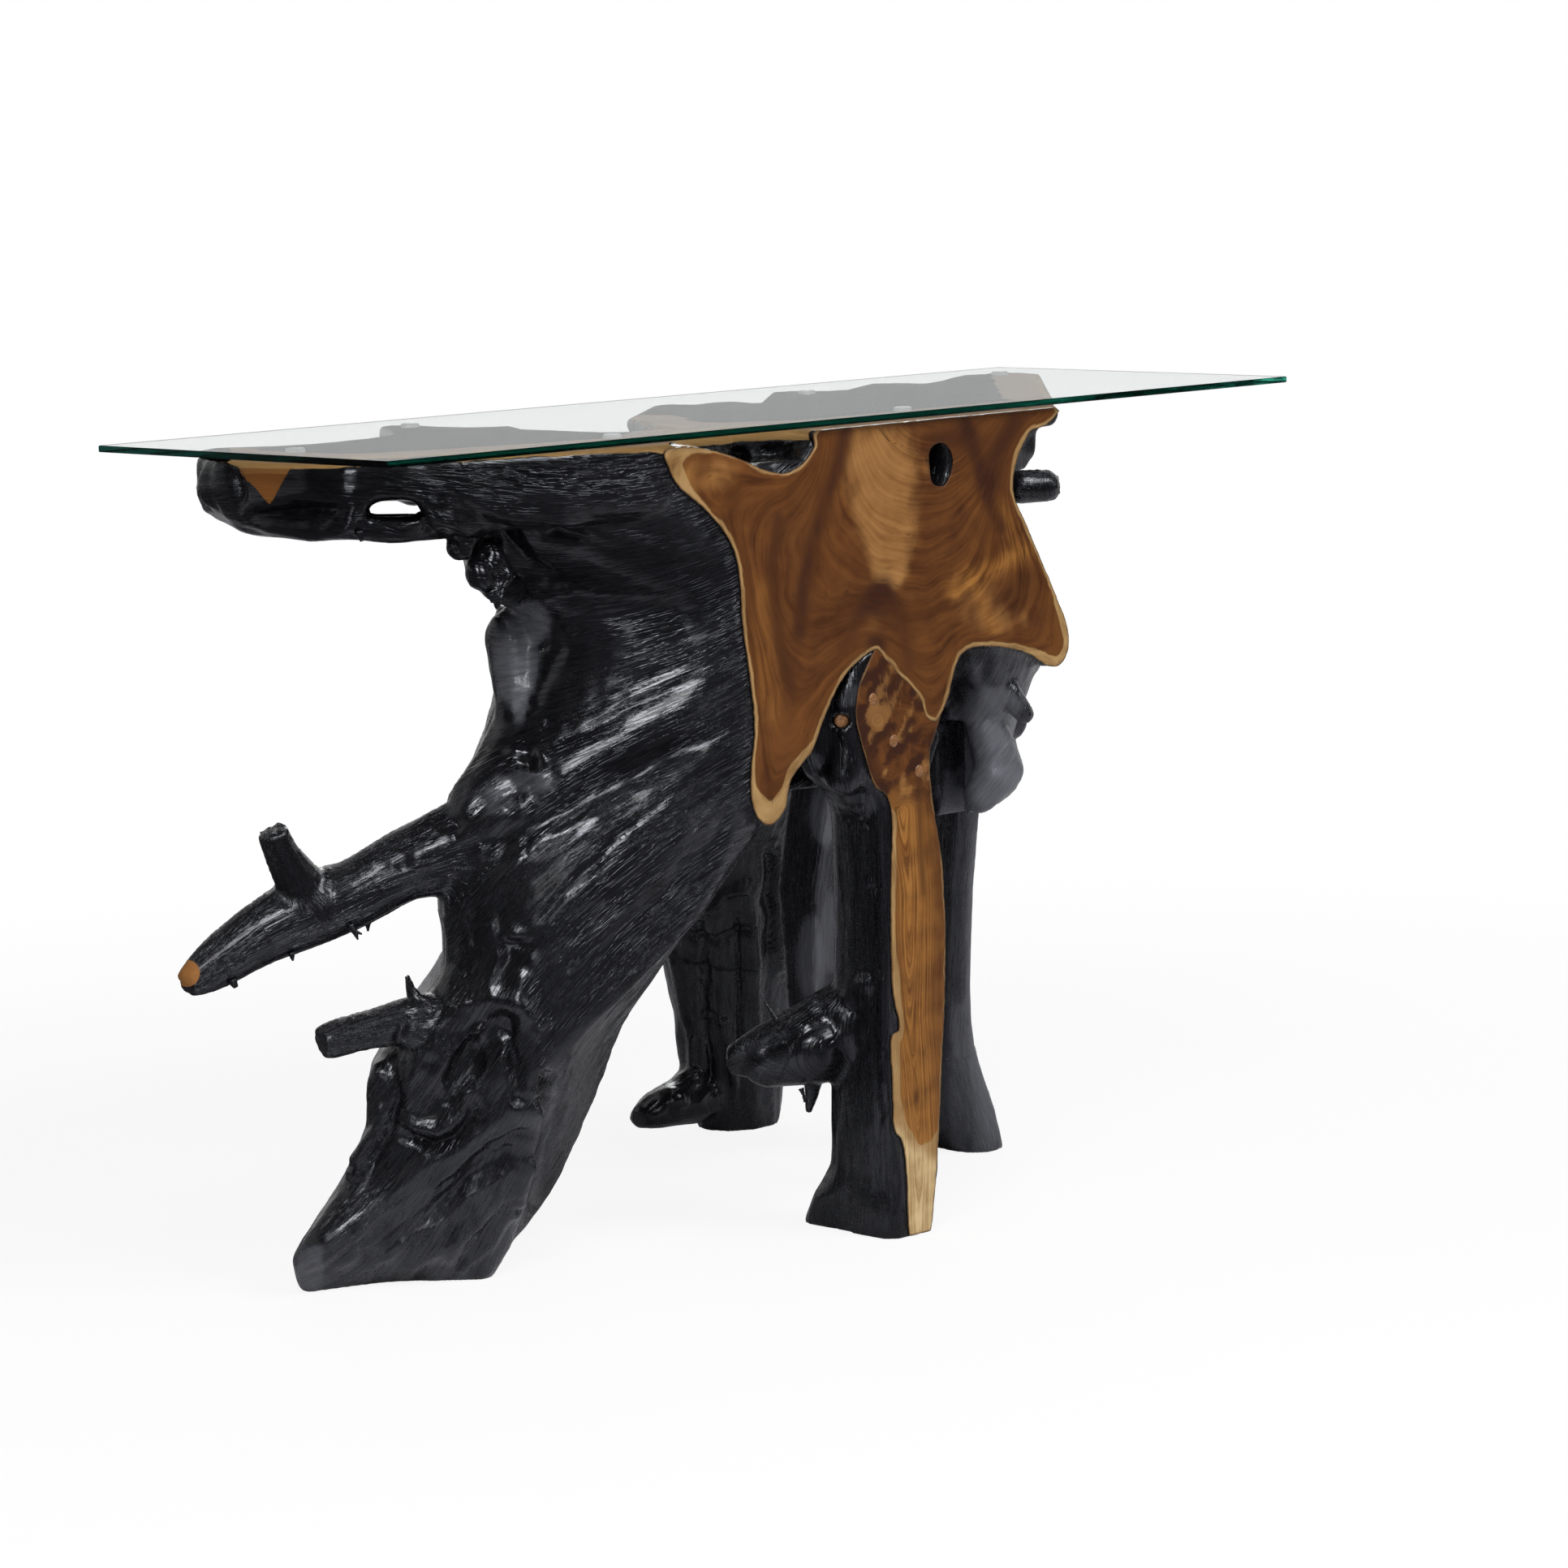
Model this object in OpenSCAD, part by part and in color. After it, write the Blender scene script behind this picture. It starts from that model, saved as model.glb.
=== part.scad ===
/* [Table] */
// Length of the glass
glass_length = 1200; // [1000:10:1500]
// Depth of the glass
glass_depth = 386; // [340:2:480]
// Thickness of the glass
glass_thickness = 6; // [4:0.5:12]
// Height of the upper face of the glass above the floor
table_height = 780; // [700:5:860]

/* [Glass rests] */
// Radius of one clear disc under the glass
bumper_radius = 9; // [5:0.5:14]
// Thickness of one clear disc
bumper_height = 4; // [2:0.5:8]

/* [Root base] */
// Overall length of the root base
base_length = 1190; // [1000:10:1400]
// Distance from the front edge of the glass to the sawn face
face_setback = 12; // [6:1:30]
// Distance from the front edge of the glass to the sawn back of the rear foot
base_depth = 540; // [440:5:640]

/* [Joinery] */
// Radius of the wooden dowels in the leg joints
dowel_radius = 7; // [4:0.5:10]
// Length of the wooden dowels
dowel_length = 70; // [40:5:110]
// Radius of the screw shank
screw_radius = 3; // [2:0.25:5]
// Radius of the screw head
screw_head_radius = 6; // [4.5:0.25:8]
// Depth from the face of the wood to the point of the screws
screw_length = 140; // [115:5:160]
// Radius of the teak plugs over the screw heads
plug_radius = 6.5; // [5:0.25:10]
// Length of the teak plugs
plug_length = 9; // [5:0.5:14]
// Room around each shank, dowel and plug
bore_clearance = 0.3; // [0.1:0.05:0.6]

/* [Hidden] */

// The root shapes are laid out for a 1200 x 540 x 770 block and stretched to the sizes above.
ref_length = 1190;
ref_depth = 540;
ref_height = 770;
glass_z = table_height - glass_thickness;
wood_top = glass_z - bumper_height;
stretch_x = base_length / ref_length;
stretch_y = (base_depth - face_setback) / (ref_depth - 12);
stretch_z = wood_top / ref_height;
mid_x = 600;
front_y = 12;

// A place in the root layout, taken to its place in the table.
function at(p) = [
    (p[0] - mid_x) * stretch_x,
    (p[1] - front_y) * stretch_y + face_setback - base_depth / 2,
    p[2] * stretch_z
];
module laid_out() {
    translate(at([mid_x, front_y, 0]))
        scale([stretch_x, stretch_y, stretch_z])
            translate([-mid_x, -front_y, 0])
                children();
}

// Smooth curve through a list of points or of rows of points.
function cr(a, b, c, d, t) = 0.5 * ((2 * b) + (c - a) * t + (2 * a - 5 * b + 4 * c - d) * t * t
    + (3 * b - a - 3 * c + d) * t * t * t);
function closed_curve(p, k) = let (n = len(p)) [
    for (i = [0 : n - 1]) for (j = [0 : k - 1])
        cr(p[(i + n - 1) % n], p[i], p[(i + 1) % n], p[(i + 2) % n], j / k)
];
function open_curve(p, k) = let (n = len(p)) [
    for (i = [0 : n - 2]) for (j = [0 : k - 1])
        cr(p[max(i - 1, 0)], p[i], p[i + 1], p[min(i + 2, n - 1)], j / k),
    p[n - 1]
];

// Closed solid over rings that all have the same number of points, turned right side out.
function wall(n, m) = [for (j = [0 : m - 2]) for (i = [0 : n - 1]) each [
    [j * n + i, (j + 1) * n + (i + 1) % n, j * n + (i + 1) % n],
    [j * n + i, (j + 1) * n + i, (j + 1) * n + (i + 1) % n]
]];
function total(v) = v * [for (x = v) 1];
function six_volumes(pts, tris) =
    total([for (t = tris) pts[t[0]] * cross(pts[t[1]], pts[t[2]])]);
function flipped(faces) = [for (f = faces) [for (i = [len(f) - 1 : -1 : 0]) f[i]]];
module skin(rings) {
    n = len(rings[0]);
    m = len(rings);
    pts = [for (r = rings) each r];
    sides = wall(n, m);
    first = [for (i = [0 : n - 1]) i];
    last = [for (i = [n - 1 : -1 : 0]) (m - 1) * n + i];
    fans = concat([for (i = [1 : n - 2]) [first[0], first[i], first[i + 1]]],
        [for (i = [1 : n - 2]) [last[0], last[i], last[i + 1]]]);
    faces = concat([first, last], sides);
    inside_out = six_volumes(pts, concat(fans, sides)) > 0;
    polyhedron(points = pts, faces = inside_out ? flipped(faces) : faces);
}
// Level outlines: [z, [[x, y], ...]] with points running clockwise seen from above.
module level_loft(levels, k = 2, kz = 2) {
    rows = [for (l = levels) [for (p = closed_curve(l[1], k)) [p[0], p[1], l[0]]]];
    skin(open_curve(rows, kz));
}
// Root or branch: stations [x, y, z, half width across, half width in the upright sense].
function station_ring(c, dir, n) =
    let (t = dir / norm(dir),
        ref = abs(t[2]) > 0.93 ? [1, 0.2, 0] : [0, 0, 1],
        s0 = cross(t, ref), s = s0 / norm(s0), u = cross(s, t))
    [for (i = [0 : n - 1]) let (a = 360 * i / n)
        [c[0], c[1], c[2]] + c[3] * cos(a) * s + c[4] * sin(a) * u];
module root(stations, n = 14, k = 3) {
    c = open_curve(stations, k);
    m = len(c);
    skin([for (j = [0 : m - 1]) let (
        a = c[max(j - 1, 0)], b = c[min(j + 1, m - 1)],
        dir = [b[0] - a[0], b[1] - a[1], b[2] - a[2]])
        station_ring(c[j], dir, n)]);
}
// Knob or twig between two balls.
module knob(a, ra, b, rb) {
    hull() {
        translate(a) sphere(r = ra, $fn = 10);
        translate(b) sphere(r = rb, $fn = 8);
    }
}
// Outline moved outward by d along its own normals, whichever way round it runs.
function turn(p) = let (n = len(p)) sign(total(
    [for (i = [0 : n - 1]) p[i][0] * p[(i + 1) % n][1] - p[(i + 1) % n][0] * p[i][1]]));
function grown(p, d) = let (n = len(p), out = -d * turn(p)) [
    for (i = [0 : n - 1]) let (
        e = p[(i + 1) % n] - p[(i + n - 1) % n], l = norm(e))
        p[i] + out * [-e[1], e[0]] / l
];

// Outline of the big sawn face in x and z, clockwise from the upper left lobe.
face_outline = [
    [339, 765], [370, 766], [400, 760], [431, 751], [462, 739], [491, 734], [515, 742],
    [529, 756], [532, 772], [590, 772], [680, 772], [780, 772], [864, 772], [862, 762],
    [845, 753], [827, 750], [815, 738], [808, 728], [800, 706], [802, 687], [816, 664],
    [830, 640], [842, 619], [859, 589], [873, 562], [876, 538], [864, 523], [846, 523],
    [816, 538], [781, 547], [747, 551], [724, 547], [713, 533], [703, 508], [690, 489],
    [684, 486], [672, 492], [662, 513], [634, 537], [617, 552], [604, 562], [573, 549],
    [551, 530], [530, 499], [517, 477], [500, 464], [487, 451], [479, 427], [461, 415],
    [446, 422], [437, 440], [437, 466], [441, 489], [443, 511], [439, 549], [434, 579],
    [430, 609], [429, 638], [424, 664], [413, 683], [398, 699], [378, 715], [354, 732],
    [342, 750]
];
module face_slab() {
    depths = [[4, 0], [18, 1], [30, 2], [60, -3], [95, -9]];
    skin([for (d = depths) [for (p = grown(face_outline, d[1])) [p[0], d[0], p[1]]]]);
}

// Left buttress with its front toe and rear toe, from the floor up into the crown.
module buttress() {
    level_loft(k = 3, levels = [
        [-4, [[268, 202], [240, 224], [208, 262], [165, 280], [127, 294], [160, 322],
            [250, 318], [335, 325], [412, 358], [448, 352], [422, 328], [314, 244]]],
        [30, [[284, 188], [240, 200], [192, 226], [148, 254], [106, 284], [168, 328],
            [255, 325], [345, 338], [430, 372], [470, 356], [462, 322], [326, 232]]],
        [60, [[287, 180], [246, 186], [203, 205], [160, 236], [119, 272], [182, 322],
            [260, 335], [365, 350], [446, 372], [490, 356], [484, 320], [341, 222]]],
        [100, [[280, 165], [245, 172], [210, 190], [180, 226], [158, 268], [208, 318],
            [280, 345], [375, 360], [460, 368], [496, 340], [484, 296], [352, 205]]],
        [150, [[272, 145], [240, 154], [210, 173], [187, 210], [172, 252], [230, 308],
            [285, 350], [385, 362], [464, 350], [496, 312], [478, 261], [356, 182]]],
        [200, [[270, 117], [240, 130], [212, 152], [190, 190], [173, 240], [228, 304],
            [290, 345], [390, 355], [470, 330], [495, 280], [473, 230], [360, 155]]],
        [250, [[301, 90], [265, 105], [232, 128], [208, 165], [198, 210], [262, 292],
            [320, 330], [400, 345], [475, 300], [505, 245], [476, 190], [384, 123]]],
        [300, [[346, 60], [298, 80], [258, 108], [234, 148], [226, 198], [300, 278],
            [350, 318], [420, 330], [495, 275], [520, 210], [480, 150], [405, 90]]],
        [350, [[401, 42], [345, 60], [285, 92], [240, 138], [222, 195], [286, 268],
            [350, 310], [440, 320], [515, 265], [530, 190], [490, 112], [438, 64]]],
        [400, [[440, 30], [375, 46], [302, 80], [245, 128], [222, 190], [284, 264],
            [350, 305], [450, 312], [518, 250], [530, 180], [508, 100], [476, 48]]],
        [440, [[438, 12], [370, 44], [305, 82], [252, 130], [230, 190], [302, 268],
            [370, 308], [455, 308], [522, 250], [530, 165], [510, 80], [482, 14]]],
        [480, [[438, 10], [375, 46], [318, 88], [282, 135], [268, 198], [350, 270],
            [400, 306], [470, 305], [526, 250], [534, 165], [518, 80], [500, 12]]],
        [530, [[440, 10], [385, 45], [334, 92], [304, 145], [302, 200], [362, 270],
            [410, 306], [470, 300], [532, 250], [538, 165], [522, 85], [500, 12]]],
        [590, [[432, 10], [385, 44], [340, 90], [318, 145], [326, 200], [388, 266],
            [430, 300], [480, 300], [545, 250], [560, 170], [550, 90], [500, 12]]],
        [630, [[429, 10], [375, 42], [322, 88], [288, 145], [326, 205], [392, 268],
            [430, 300], [480, 300], [545, 250], [575, 170], [570, 90], [500, 12]]],
        [662, [[424, 10], [350, 40], [282, 80], [240, 138], [292, 205], [362, 270],
            [410, 300], [480, 300], [545, 250], [575, 170], [570, 90], [500, 12]]],
        [705, [[392, 10], [320, 32], [250, 62], [206, 124], [264, 210], [332, 275],
            [400, 300], [480, 290], [545, 240], [575, 170], [570, 90], [500, 12]]],
        [752, [[345, 10], [290, 24], [235, 44], [205, 104], [240, 190], [300, 252],
            [345, 272], [365, 225], [372, 150], [400, 100], [460, 60], [420, 16]]]
    ]);
}
// Flat crown left of the face, with the wide beam that runs to the left end.
crown_left = [
    [20, 245], [20, 190], [28, 135], [45, 102], [90, 76], [165, 50], [235, 30], [290, 20],
    [342, 10], [366, 34], [410, 56], [470, 62], [470, 105], [388, 108], [373, 130],
    [371, 170], [367, 225], [392, 270], [375, 278], [362, 292], [355, 325], [356, 368],
    [344, 384], [328, 380], [300, 335], [262, 288], [215, 272], [150, 268], [115, 280],
    [92, 300], [73, 315], [42, 300]
];
// Flat crown behind the face, with the long lobe to the right rear corner.
crown_right = [
    [440, 70], [500, 58], [525, 35], [534, 8], [620, 8], [720, 8], [800, 8], [863, 8],
    [902, 48], [990, 132], [1090, 226], [1186, 316], [1194, 348], [1186, 378], [1160, 372],
    [1140, 382], [1100, 364], [1058, 340], [1020, 325], [1012, 360], [995, 378], [960, 360],
    [912, 334], [890, 338], [872, 374], [850, 378], [790, 328], [724, 272], [733, 316],
    [712, 326], [682, 318], [674, 347], [650, 345], [600, 306], [560, 275], [512, 238],
    [460, 150]
];
crown_core = [
    [500, 62], [560, 30], [640, 10], [760, 10], [840, 16], [866, 60], [930, 128], [1010, 205],
    [1090, 275], [1120, 318], [1070, 322], [990, 310], [900, 312], [800, 300], [700, 290],
    [620, 290], [540, 230]
];
module plate(outline, steps) {
    skin([for (s = steps) [for (p = grown(outline, s[1])) [p[0], p[1], s[0]]]]);
}
// Wood between the face and the rear leg.
module heart() {
    level_loft([
        [470, [[590, 120], [560, 170], [570, 240], [640, 290], [740, 330], [850, 310],
            [905, 240], [890, 160], [800, 86], [690, 100]]],
        [505, [[580, 110], [545, 170], [560, 240], [640, 285], [740, 320], [850, 305],
            [910, 235], [890, 145], [800, 78], [690, 92]]],
        [560, [[560, 60], [520, 150], [540, 240], [640, 280], [740, 310], [850, 290],
            [905, 210], [885, 100], [800, 30], [690, 40]]],
        [640, [[520, 20], [500, 150], [540, 240], [640, 280], [740, 290], [830, 260],
            [880, 170], [845, 70], [780, 16], [650, 8]]],
        [700, [[460, 20], [460, 140], [530, 230], [640, 280], [740, 280], [830, 240],
            [870, 150], [820, 50], [740, 10], [600, 8]]],
        [745, [[430, 30], [440, 130], [520, 220], [640, 290], [740, 280], [840, 260],
            [890, 150], [850, 40], [740, 10], [560, 8]]]
    ]);
}
// Wood that backs the head of the front leg.
module backing() {
    level_loft([
        [424, [[580, 100], [568, 150], [590, 196], [636, 208], [676, 192], [690, 150],
            [688, 100], [640, 96]]],
        [450, [[560, 98], [545, 150], [570, 220], [636, 232], [684, 206], [696, 150],
            [692, 98], [640, 90]]],
        [476, [[555, 97], [540, 150], [565, 226], [636, 240], [686, 210], [698, 150],
            [694, 96], [640, 86]]],
        [520, [[545, 96], [535, 150], [560, 230], [640, 250], [710, 230], [730, 150],
            [715, 90], [640, 80]]]
    ]);
}
// Short root under the right lobe of the face, sawn level on its underside.
module flare() {
    level_loft([
        [375, [[828, 98], [822, 150], [846, 205], [900, 246], [956, 244], [998, 214],
            [996, 190], [962, 162], [920, 136], [876, 112]]],
        [402, [[818, 90], [815, 150], [842, 212], [900, 255], [962, 252], [1006, 216],
            [1004, 192], [962, 152], [912, 112], [862, 86]]],
        [435, [[806, 80], [805, 150], [838, 215], [900, 260], [955, 252], [990, 212],
            [986, 184], [945, 148], [896, 106], [848, 72]]],
        [470, [[796, 66], [795, 150], [830, 220], [895, 258], [945, 244], [976, 205],
            [970, 165], [930, 122], [880, 80], [835, 50]]],
        [500, [[780, 40], [785, 150], [825, 222], [890, 252], [940, 236], [968, 195],
            [960, 150], [920, 100], [876, 62], [826, 36]]],
        [545, [[752, 34], [765, 150], [810, 222], [875, 245], [925, 222], [948, 175],
            [935, 125], [900, 74], [872, 30], [806, 16]]],
        [600, [[720, 10], [745, 150], [800, 215], [860, 230], [900, 200], [918, 150],
            [905, 100], [880, 50], [846, 8], [780, 6]]]
    ]);
}
module slot_block() {
    translate([76, 82, 729])
        rotate([0, 0, 48.5]) rotate([0, 4.8, 0])
            hull() {
                translate([-90, -26, -9]) cube([440, 52, 9]);
                translate([-90, -24, -2]) cube([440, 36, 11]);
            }
}
module stump_wood() {
    difference() {
        union() {
            face_slab();
            buttress();
            difference() {
                plate(crown_left, [[704, -16], [716, -4], [740, 1], [760, 1], [775, 0]]);
                slot_block();
            }
            plate(crown_right, [[752, -7], [760, 0], [775, 0]]);
            plate(crown_core, [[712, -12], [728, -2], [745, 0], [765, -2]]);
            heart();
            backing();
            flare();
            // bar under the slot
            root([[52, 190, 728, 20, 18], [52, 120, 716, 14, 12], [92, 94, 711, 12, 12],
                [150, 92, 710, 13, 12], [210, 110, 706, 20, 16]], 10, 2);
            // pale bulge behind the left flank
            root([[470, 300, 622, 8, 8], [462, 300, 612, 26, 26], [452, 302, 592, 40, 42],
                [449, 304, 562, 45, 45], [448, 302, 530, 43, 41], [452, 296, 500, 34, 32],
                [464, 285, 470, 20, 20]], 14, 3);
            knob([478, 306, 560], 28, [478, 306, 604], 30);
            // long arm and its upright stub
            root([[300, 176, 420, 46, 46], [242, 200, 402, 36, 42], [200, 222, 391, 30, 33],
                [160, 245, 369, 29, 31], [125, 265, 358, 31, 34], [80, 285, 338, 26, 28],
                [36, 300, 313, 20, 22], [9, 304, 300, 12, 12]], 14, 3);
            root([[126, 264, 360, 28, 28], [108, 264, 388, 21, 21], [92, 264, 412, 16, 16],
                [82, 264, 434, 14, 14]], 12, 2);
            // lower stub on the buttress
            root([[250, 196, 240, 34, 36], [200, 206, 250, 24, 26], [162, 222, 248, 17, 18],
                [124, 236, 242, 15, 17], [110, 241, 238, 13, 14]], 12, 2);
            // branch end at the right
            root([[850, 90, 696, 15, 15], [886, 76, 691, 13, 13], [918, 62, 687, 13, 13]], 12, 2);
            // knobs, thorns and twigs
            knob([162, 92, 690], 12, [176, 104, 704], 12);
            knob([184, 88, 664], 14, [206, 110, 684], 20);
            knob([188, 70, 643], 3, [206, 92, 664], 11);
            knob([900, 118, 458], 24, [944, 146, 452], 13);
            knob([180, 200, 295], 2.5, [190, 200, 272], 6);
            knob([190, 200, 272], 7, [214, 200, 258], 13);
            knob([176, 246, 331], 1.5, [176, 246, 350], 4);
            knob([60, 290, 308], 1.5, [66, 290, 325], 6);
            knob([58, 225, 738], 17, [66, 205, 744], 20);
            knob([78, 240, 730], 13, [78, 220, 744], 18);
        }
        // sawn front, flat top and floor
        translate([-50, -100, -50]) cube([1400, 100 + front_y, 900]);
        translate([-50, -50, ref_height]) cube([1400, 700, 60]);
        translate([-50, -50, -60]) cube([1400, 700, 60]);
        // old hollow low on the buttress
        hull() {
            translate([226, 122, 252]) sphere(r = 15, $fn = 16);
            translate([196, 158, 206]) sphere(r = 17, $fn = 16);
        }
        hull() {
            translate([196, 158, 206]) sphere(r = 17, $fn = 16);
            translate([182, 186, 164]) sphere(r = 15, $fn = 16);
        }
        // knot hole through the face
        translate([698, 0, 727]) rotate([-90, 0, 0]) scale([1, 1.5, 1])
            cylinder(r1 = 15, r2 = 9, h = 90, $fn = 20);
        head_pocket();
        post_seat();
    }
}

// Space of the front leg head and shoulder, up to the seam and the seats of the stump.
shoulder_back = 104;
lobe_back = 56;
module head_pocket() {
    translate([0, lobe_back, 0]) rotate([90, 0, 0])
        linear_extrude(height = lobe_back + 20)
            polygon([[604, 562], [617, 552], [634, 537], [662, 513], [672, 492], [684, 486],
                [720, 430], [720, 380], [560, 380], [560, 430], [520, 440], [530, 499],
                [551, 530], [573, 549]]);
    translate([0, shoulder_back, 0]) rotate([90, 0, 0])
        linear_extrude(height = shoulder_back - lobe_back)
            polygon([[604, 562], [617, 552], [634, 537], [662, 513], [672, 492], [684, 486],
                [720, 430], [720, 380], [535, 380], [535, 500], [560, 545]]);
}
// Front leg: sawn front face, grooved sides, foot flare and one side branch.
module front_leg_wood() {
    intersection() {
        difference() {
            union() {
                level_loft([
                    [-4, [[635, 12], [613, 20], [610, 54], [616, 80], [616, 104], [615, 128],
                        [634, 148], [662, 140], [674, 80], [664, 12]]],
                    [30, [[635, 11], [617, 20], [612, 48], [615, 72], [612, 96], [614, 114],
                        [634, 130], [662, 124], [677, 76], [671, 11]]],
                    [60, [[633, 11], [621, 20], [614, 44], [616, 68], [616, 86], [624, 102],
                        [640, 112], [664, 106], [681, 70], [678, 11]]],
                    [105, [[618, 11], [614, 24], [611, 46], [613, 70], [616, 88], [624, 100],
                        [640, 106], [668, 100], [684, 62], [679, 11]]],
                    [190, [[616, 11], [610, 26], [608, 46], [610, 66], [614, 84], [624, 96],
                        [644, 100], [672, 94], [690, 60], [686, 11]]],
                    [290, [[618, 11], [612, 26], [610, 46], [612, 64], [616, 80], [626, 92],
                        [648, 96], [676, 90], [696, 58], [693, 11]]],
                    [395, [[622, 11], [612, 26], [606, 46], [608, 64], [614, 80], [626, 92],
                        [648, 98], [672, 92], [686, 56], [682, 11]]],
                    [425, [[615, 11], [600, 28], [590, 48], [592, 66], [602, 82], [620, 94],
                        [645, 102], [668, 96], [681, 56], [677, 11]]],
                    [445, [[594, 11], [580, 30], [566, 50], [566, 68], [582, 84], [606, 98],
                        [640, 108], [668, 100], [684, 56], [678, 11]]],
                    [490, [[579, 11], [566, 32], [548, 54], [546, 72], [560, 88], [590, 104],
                        [640, 112], [680, 104], [700, 56], [700, 11]]],
                    [530, [[582, 11], [572, 32], [556, 54], [554, 72], [566, 88], [592, 104],
                        [640, 112], [680, 104], [700, 56], [700, 11]]],
                    [566, [[600, 11], [590, 30], [584, 50], [584, 68], [590, 84], [604, 98],
                        [630, 104], [680, 100], [700, 56], [700, 11]]]
                ]);
                // side branch of the leg
                root([[655, 50, 205, 36, 50], [625, 88, 190, 32, 46], [600, 111, 181, 26, 38],
                    [575, 130, 176, 20, 29], [553, 146, 174, 12, 16], [541, 156, 174, 6, 7]],
                    12, 2);
                knob([612, 118, 112], 3, [612, 112, 142], 9);
                knob([630, 58, 286], 18, [640, 60, 300], 16);
                knob([634, 76, 238], 20, [640, 60, 250], 16);
                knob([634, 44, 262], 18, [650, 50, 270], 14);
                knob([632, 68, 358], 18, [650, 60, 340], 16);
                knob([634, 52, 226], 22, [650, 50, 220], 16);
                knob([634, 66, 116], 18, [650, 60, 130], 16);
                knob([636, 86, 62], 20, [650, 60, 70], 16);
            }
            translate([400, -100, -50]) cube([500, 100 + front_y, 900]);
            translate([400, -50, -60]) cube([500, 400, 60]);
        }
        union() {
            translate([400, 0, -10]) cube([400, 400, 400]);
            head_pocket();
        }
    }
}
// Rear leg with a toe to the left.
module rear_leg_wood() {
    difference() {
        union() {
            level_loft([
                [-4, [[874, 524], [884, 494], [912, 480], [940, 484], [958, 505], [966, 545],
                    [930, 552], [890, 550]]],
                [60, [[846, 518], [862, 488], [896, 470], [936, 474], [966, 500], [972, 545],
                    [925, 562], [866, 555]]],
                [130, [[840, 503], [858, 474], [880, 455], [932, 458], [970, 488], [974, 535],
                    [920, 556], [850, 548]]],
                [200, [[822, 487], [838, 454], [856, 430], [918, 432], [962, 462], [964, 512],
                    [904, 536], [824, 532]]],
                [300, [[776, 433], [794, 402], [822, 378], [890, 380], [940, 412], [942, 468],
                    [880, 496], [786, 486]]],
                [400, [[714, 352], [740, 322], [790, 306], [862, 310], [916, 348], [916, 410],
                    [846, 440], [746, 418]]],
                [470, [[694, 292], [722, 262], [775, 248], [845, 254], [898, 292], [900, 346],
                    [828, 372], [728, 352]]]
            ]);
            // toe
            root([[900, 520, 60, 34, 40], [862, 518, 44, 30, 34], [824, 514, 38, 25, 24],
                [788, 512, 34, 19, 18], [766, 510, 31, 10, 10]], 12, 2);
            knob([880, 470, 210], 30, [870, 470, 190], 28);
            knob([852, 440, 262], 34, [860, 450, 280], 30);
            knob([820, 426, 306], 34, [840, 430, 320], 30);
            knob([900, 492, 124], 36, [900, 500, 150], 30);
            knob([920, 500, 64], 30, [900, 500, 90], 30);
            knob([878, 490, 150], 32, [880, 490, 170], 30);
            knob([850, 404, 336], 38, [850, 400, 360], 30);
            knob([790, 346, 398], 38, [800, 350, 420], 34);
        }
        translate([400, 200, -60]) cube([800, 500, 60]);
        translate([400, ref_depth, -60]) cube([800, 100, 700]);
        translate([400, 100, 470]) cube([800, 500, 60]);
    }
}
// Straight right leg under the level cut of the flare.
module right_leg_wood() {
    difference() {
        union() {
            level_loft([
                [-4, [[952, 236], [966, 213], [998, 216], [1014, 245], [1016, 290], [1000, 316],
                    [970, 308], [956, 276]]],
                [45, [[930, 236], [946, 211], [974, 207], [992, 235], [996, 278], [980, 304],
                    [948, 297], [934, 266]]],
                [110, [[902, 230], [914, 206], [940, 201], [957, 228], [962, 268], [950, 292],
                    [920, 288], [905, 260]]],
                [180, [[888, 224], [900, 199], [928, 195], [946, 222], [952, 260], [938, 282],
                    [906, 278], [890, 252]]],
                [280, [[884, 214], [896, 189], [924, 185], [940, 212], [946, 250], [932, 272],
                    [900, 268], [885, 242]]],
                [375, [[874, 190], [886, 166], [912, 162], [928, 188], [934, 226], [918, 246],
                    [888, 240], [876, 216]]]
            ]);
            knob([926, 222, 154], 22, [920, 230, 170], 20);
            knob([962, 234, 52], 26, [960, 240, 60], 24);
            knob([936, 226, 104], 24, [930, 230, 120], 20);
            knob([912, 210, 300], 22, [915, 215, 320], 20);
            knob([912, 220, 200], 22, [915, 220, 220], 20);
            knob([918, 208, 330], 20, [910, 210, 340], 18);
            knob([978, 240, 26], 24, [970, 250, 30], 22);
            knob([956, 248, 34], 22, [950, 250, 50], 20);
        }
        translate([700, 0, -60]) cube([500, 500, 60]);
        translate([700, 0, 375]) cube([500, 500, 60]);
    }
}
// Squared post beside the flare, and the square seat cut for it into the flare.
post_low = [776, 95, 378];
post_high = [820, 142, 470];
module right_post_wood() {
    skin([
        [[post_low[0] + 3, 97, post_low[2]], [post_low[0], 140, post_low[2]],
            [post_high[0] - 3, post_high[1] - 2, post_low[2]], [post_high[0], 98, post_low[2]]],
        [[post_low[0], post_low[1], 420], [post_low[0] + 2, post_high[1], 420],
            [post_high[0] - 1, post_high[1], 420], [post_high[0], 96, 420]],
        [[post_low[0] + 2, 96, post_high[2]], [post_low[0], 140, post_high[2]],
            [post_high[0] - 2, post_high[1], post_high[2]], [post_high[0], 98, post_high[2]]]
    ]);
}
module post_seat() {
    translate([post_low[0] - 30, post_low[1] - 60, post_low[2] - 30])
        cube([post_high[0] - post_low[0] + 30.3, post_high[1] - post_low[1] + 60.3,
            post_high[2] - post_low[2] + 30]);
}
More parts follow.
